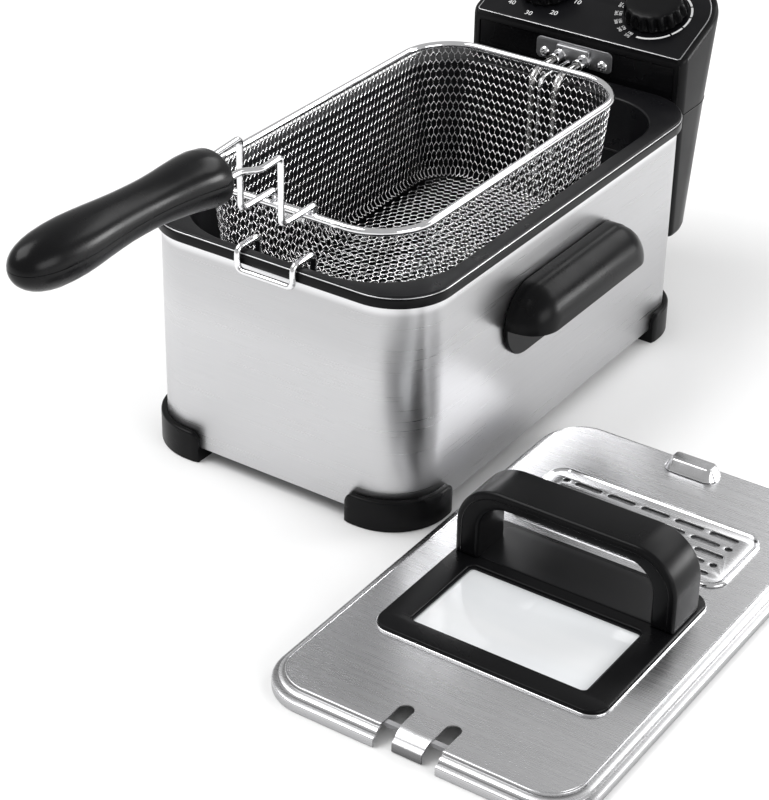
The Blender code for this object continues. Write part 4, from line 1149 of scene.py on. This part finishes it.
def catch():
    low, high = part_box("rear_catch")
    half_x, depth, height = (high.x - low.x) / 2, high.y - low.y, high.z - low.z
    base = Outline(half_x, 0, depth, 0.0070, 0.0070)
    profile = [(-0.0002, 0), (0, 0.0004), (-0.0006, 0.0014)]
    profile += [(-0.0036, height - 0.0008), (-0.0044, height - 0.0001), (-0.0052, height)]
    made = sweep(base, profile, closed=False, angle=25)
    made.transform(Matrix.Translation((LID_X, low.y, low.z)))
    own("catch_cap", made, POLISHED, "lid", "chrome", "rear_catch")


def carried_over():
    dress(DARK_STEEL, "base_plate", "filter_tray")
    dress(BLACK_SIDE, "guide_rail", "head_guide")
    dress(GLOSS, "head_front_panel")
    dress(SWITCH, "timer_body", "thermostat_body", "terminal_block")
    dress(BLACK, "interlock_switch", "reset_switch", "cord_gland")
    dress(RED, "reset_button")
    dress(SEAL, "lid_seal")
    dress(FIBRE, "vent_filter")
    dress(CHROME, "lid_handle_screw_left", "lid_handle_screw_right")


# --- stage --------------------------------------------------------------------------------------
CAMERA_PLACE = (0.76751, -1.20999, 0.83734)
CAMERA_TURN = (33.538, 30.949, 1.101)  # azimuth, elevation and roll in degrees
FOCAL_PIXELS, PICTURE_PIXELS, SENSOR = 2301.6, 800, 36
WORLD_STRENGTH = 0.50


def camera():
    azimuth, elevation, roll = (math.radians(angle) for angle in CAMERA_TURN)
    across = math.cos(elevation)
    forward = Vector((-math.sin(azimuth) * across, math.cos(azimuth) * across, -math.sin(elevation)))
    right = Vector((math.cos(azimuth), math.sin(azimuth), 0))
    up = right.cross(forward)
    side = math.cos(roll) * right + math.sin(roll) * up
    top = -math.sin(roll) * right + math.cos(roll) * up
    data = bpy.data.cameras.new("camera")
    data.sensor_width = SENSOR
    data.lens = FOCAL_PIXELS * SENSOR / PICTURE_PIXELS
    data.clip_start = 0.05
    obj = linked("camera", data)
    turn = Matrix((side, top, -forward)).transposed().to_4x4()
    obj.matrix_world = Matrix.Translation(CAMERA_PLACE) @ turn
    bpy.context.scene.camera = obj


def area(name, place, target, size, power):
    data = bpy.data.lights.new(name, "AREA")
    data.shape = "RECTANGLE"
    data.size, data.size_y = size
    data.energy = power
    obj = linked(name, data)
    obj.location = place
    obj.rotation_euler = (Vector(target) - Vector(place)).to_track_quat("-Z", "Y").to_euler()


def stage():
    bm = bmesh.new()
    bmesh.ops.create_grid(bm, x_segments=1, y_segments=1, size=8)
    mesh = mesh_of(bm)
    floor = linked("floor", mesh)
    look = Shader("floor_paper", (0.93, 0.93, 0.93), 0.85)
    look.colours(look.noise((1, 1, 1), 4, 2), (0.925, 0.925, 0.925), (0.935, 0.935, 0.935))
    mesh.materials.append(look.material)
    world = bpy.data.worlds.new("studio")
    world.use_nodes = True
    background = world.node_tree.nodes["Background"].inputs
    background["Color"].default_value = (1, 1, 1, 1)
    background["Strength"].default_value = WORLD_STRENGTH
    bpy.context.scene.world = world
    bpy.context.scene.view_settings.view_transform = "Standard"
    area("key", (-1.1, -0.7, 2.1), (0.0, -0.1, 0.0), (1.8, 1.6), 44)
    area("side", (1.9, -0.35, 0.75), (0.05, -0.05, 0.08), (1.3, 0.8), 13)
    area("back", (0.6, 1.9, 1.6), (0.1, 0.1, 0.0), (2.0, 0.8), 16)
    area("edge", (1.35, 1.15, 0.36), (0.0, -0.1, 0.12), (0.50, 0.40), 11)


def main():
    camera()
    stage()
    for build in (
        *(housing, rim, pot, feet, side_handles),
        *(head_shell, control_panel, knobs, dial_marks, bracket, element),
        *(basket, handle, grip),
        *(lid_panel, lid_window, lid_handle, vent, catch),
        carried_over,
    ):
        build()


main()
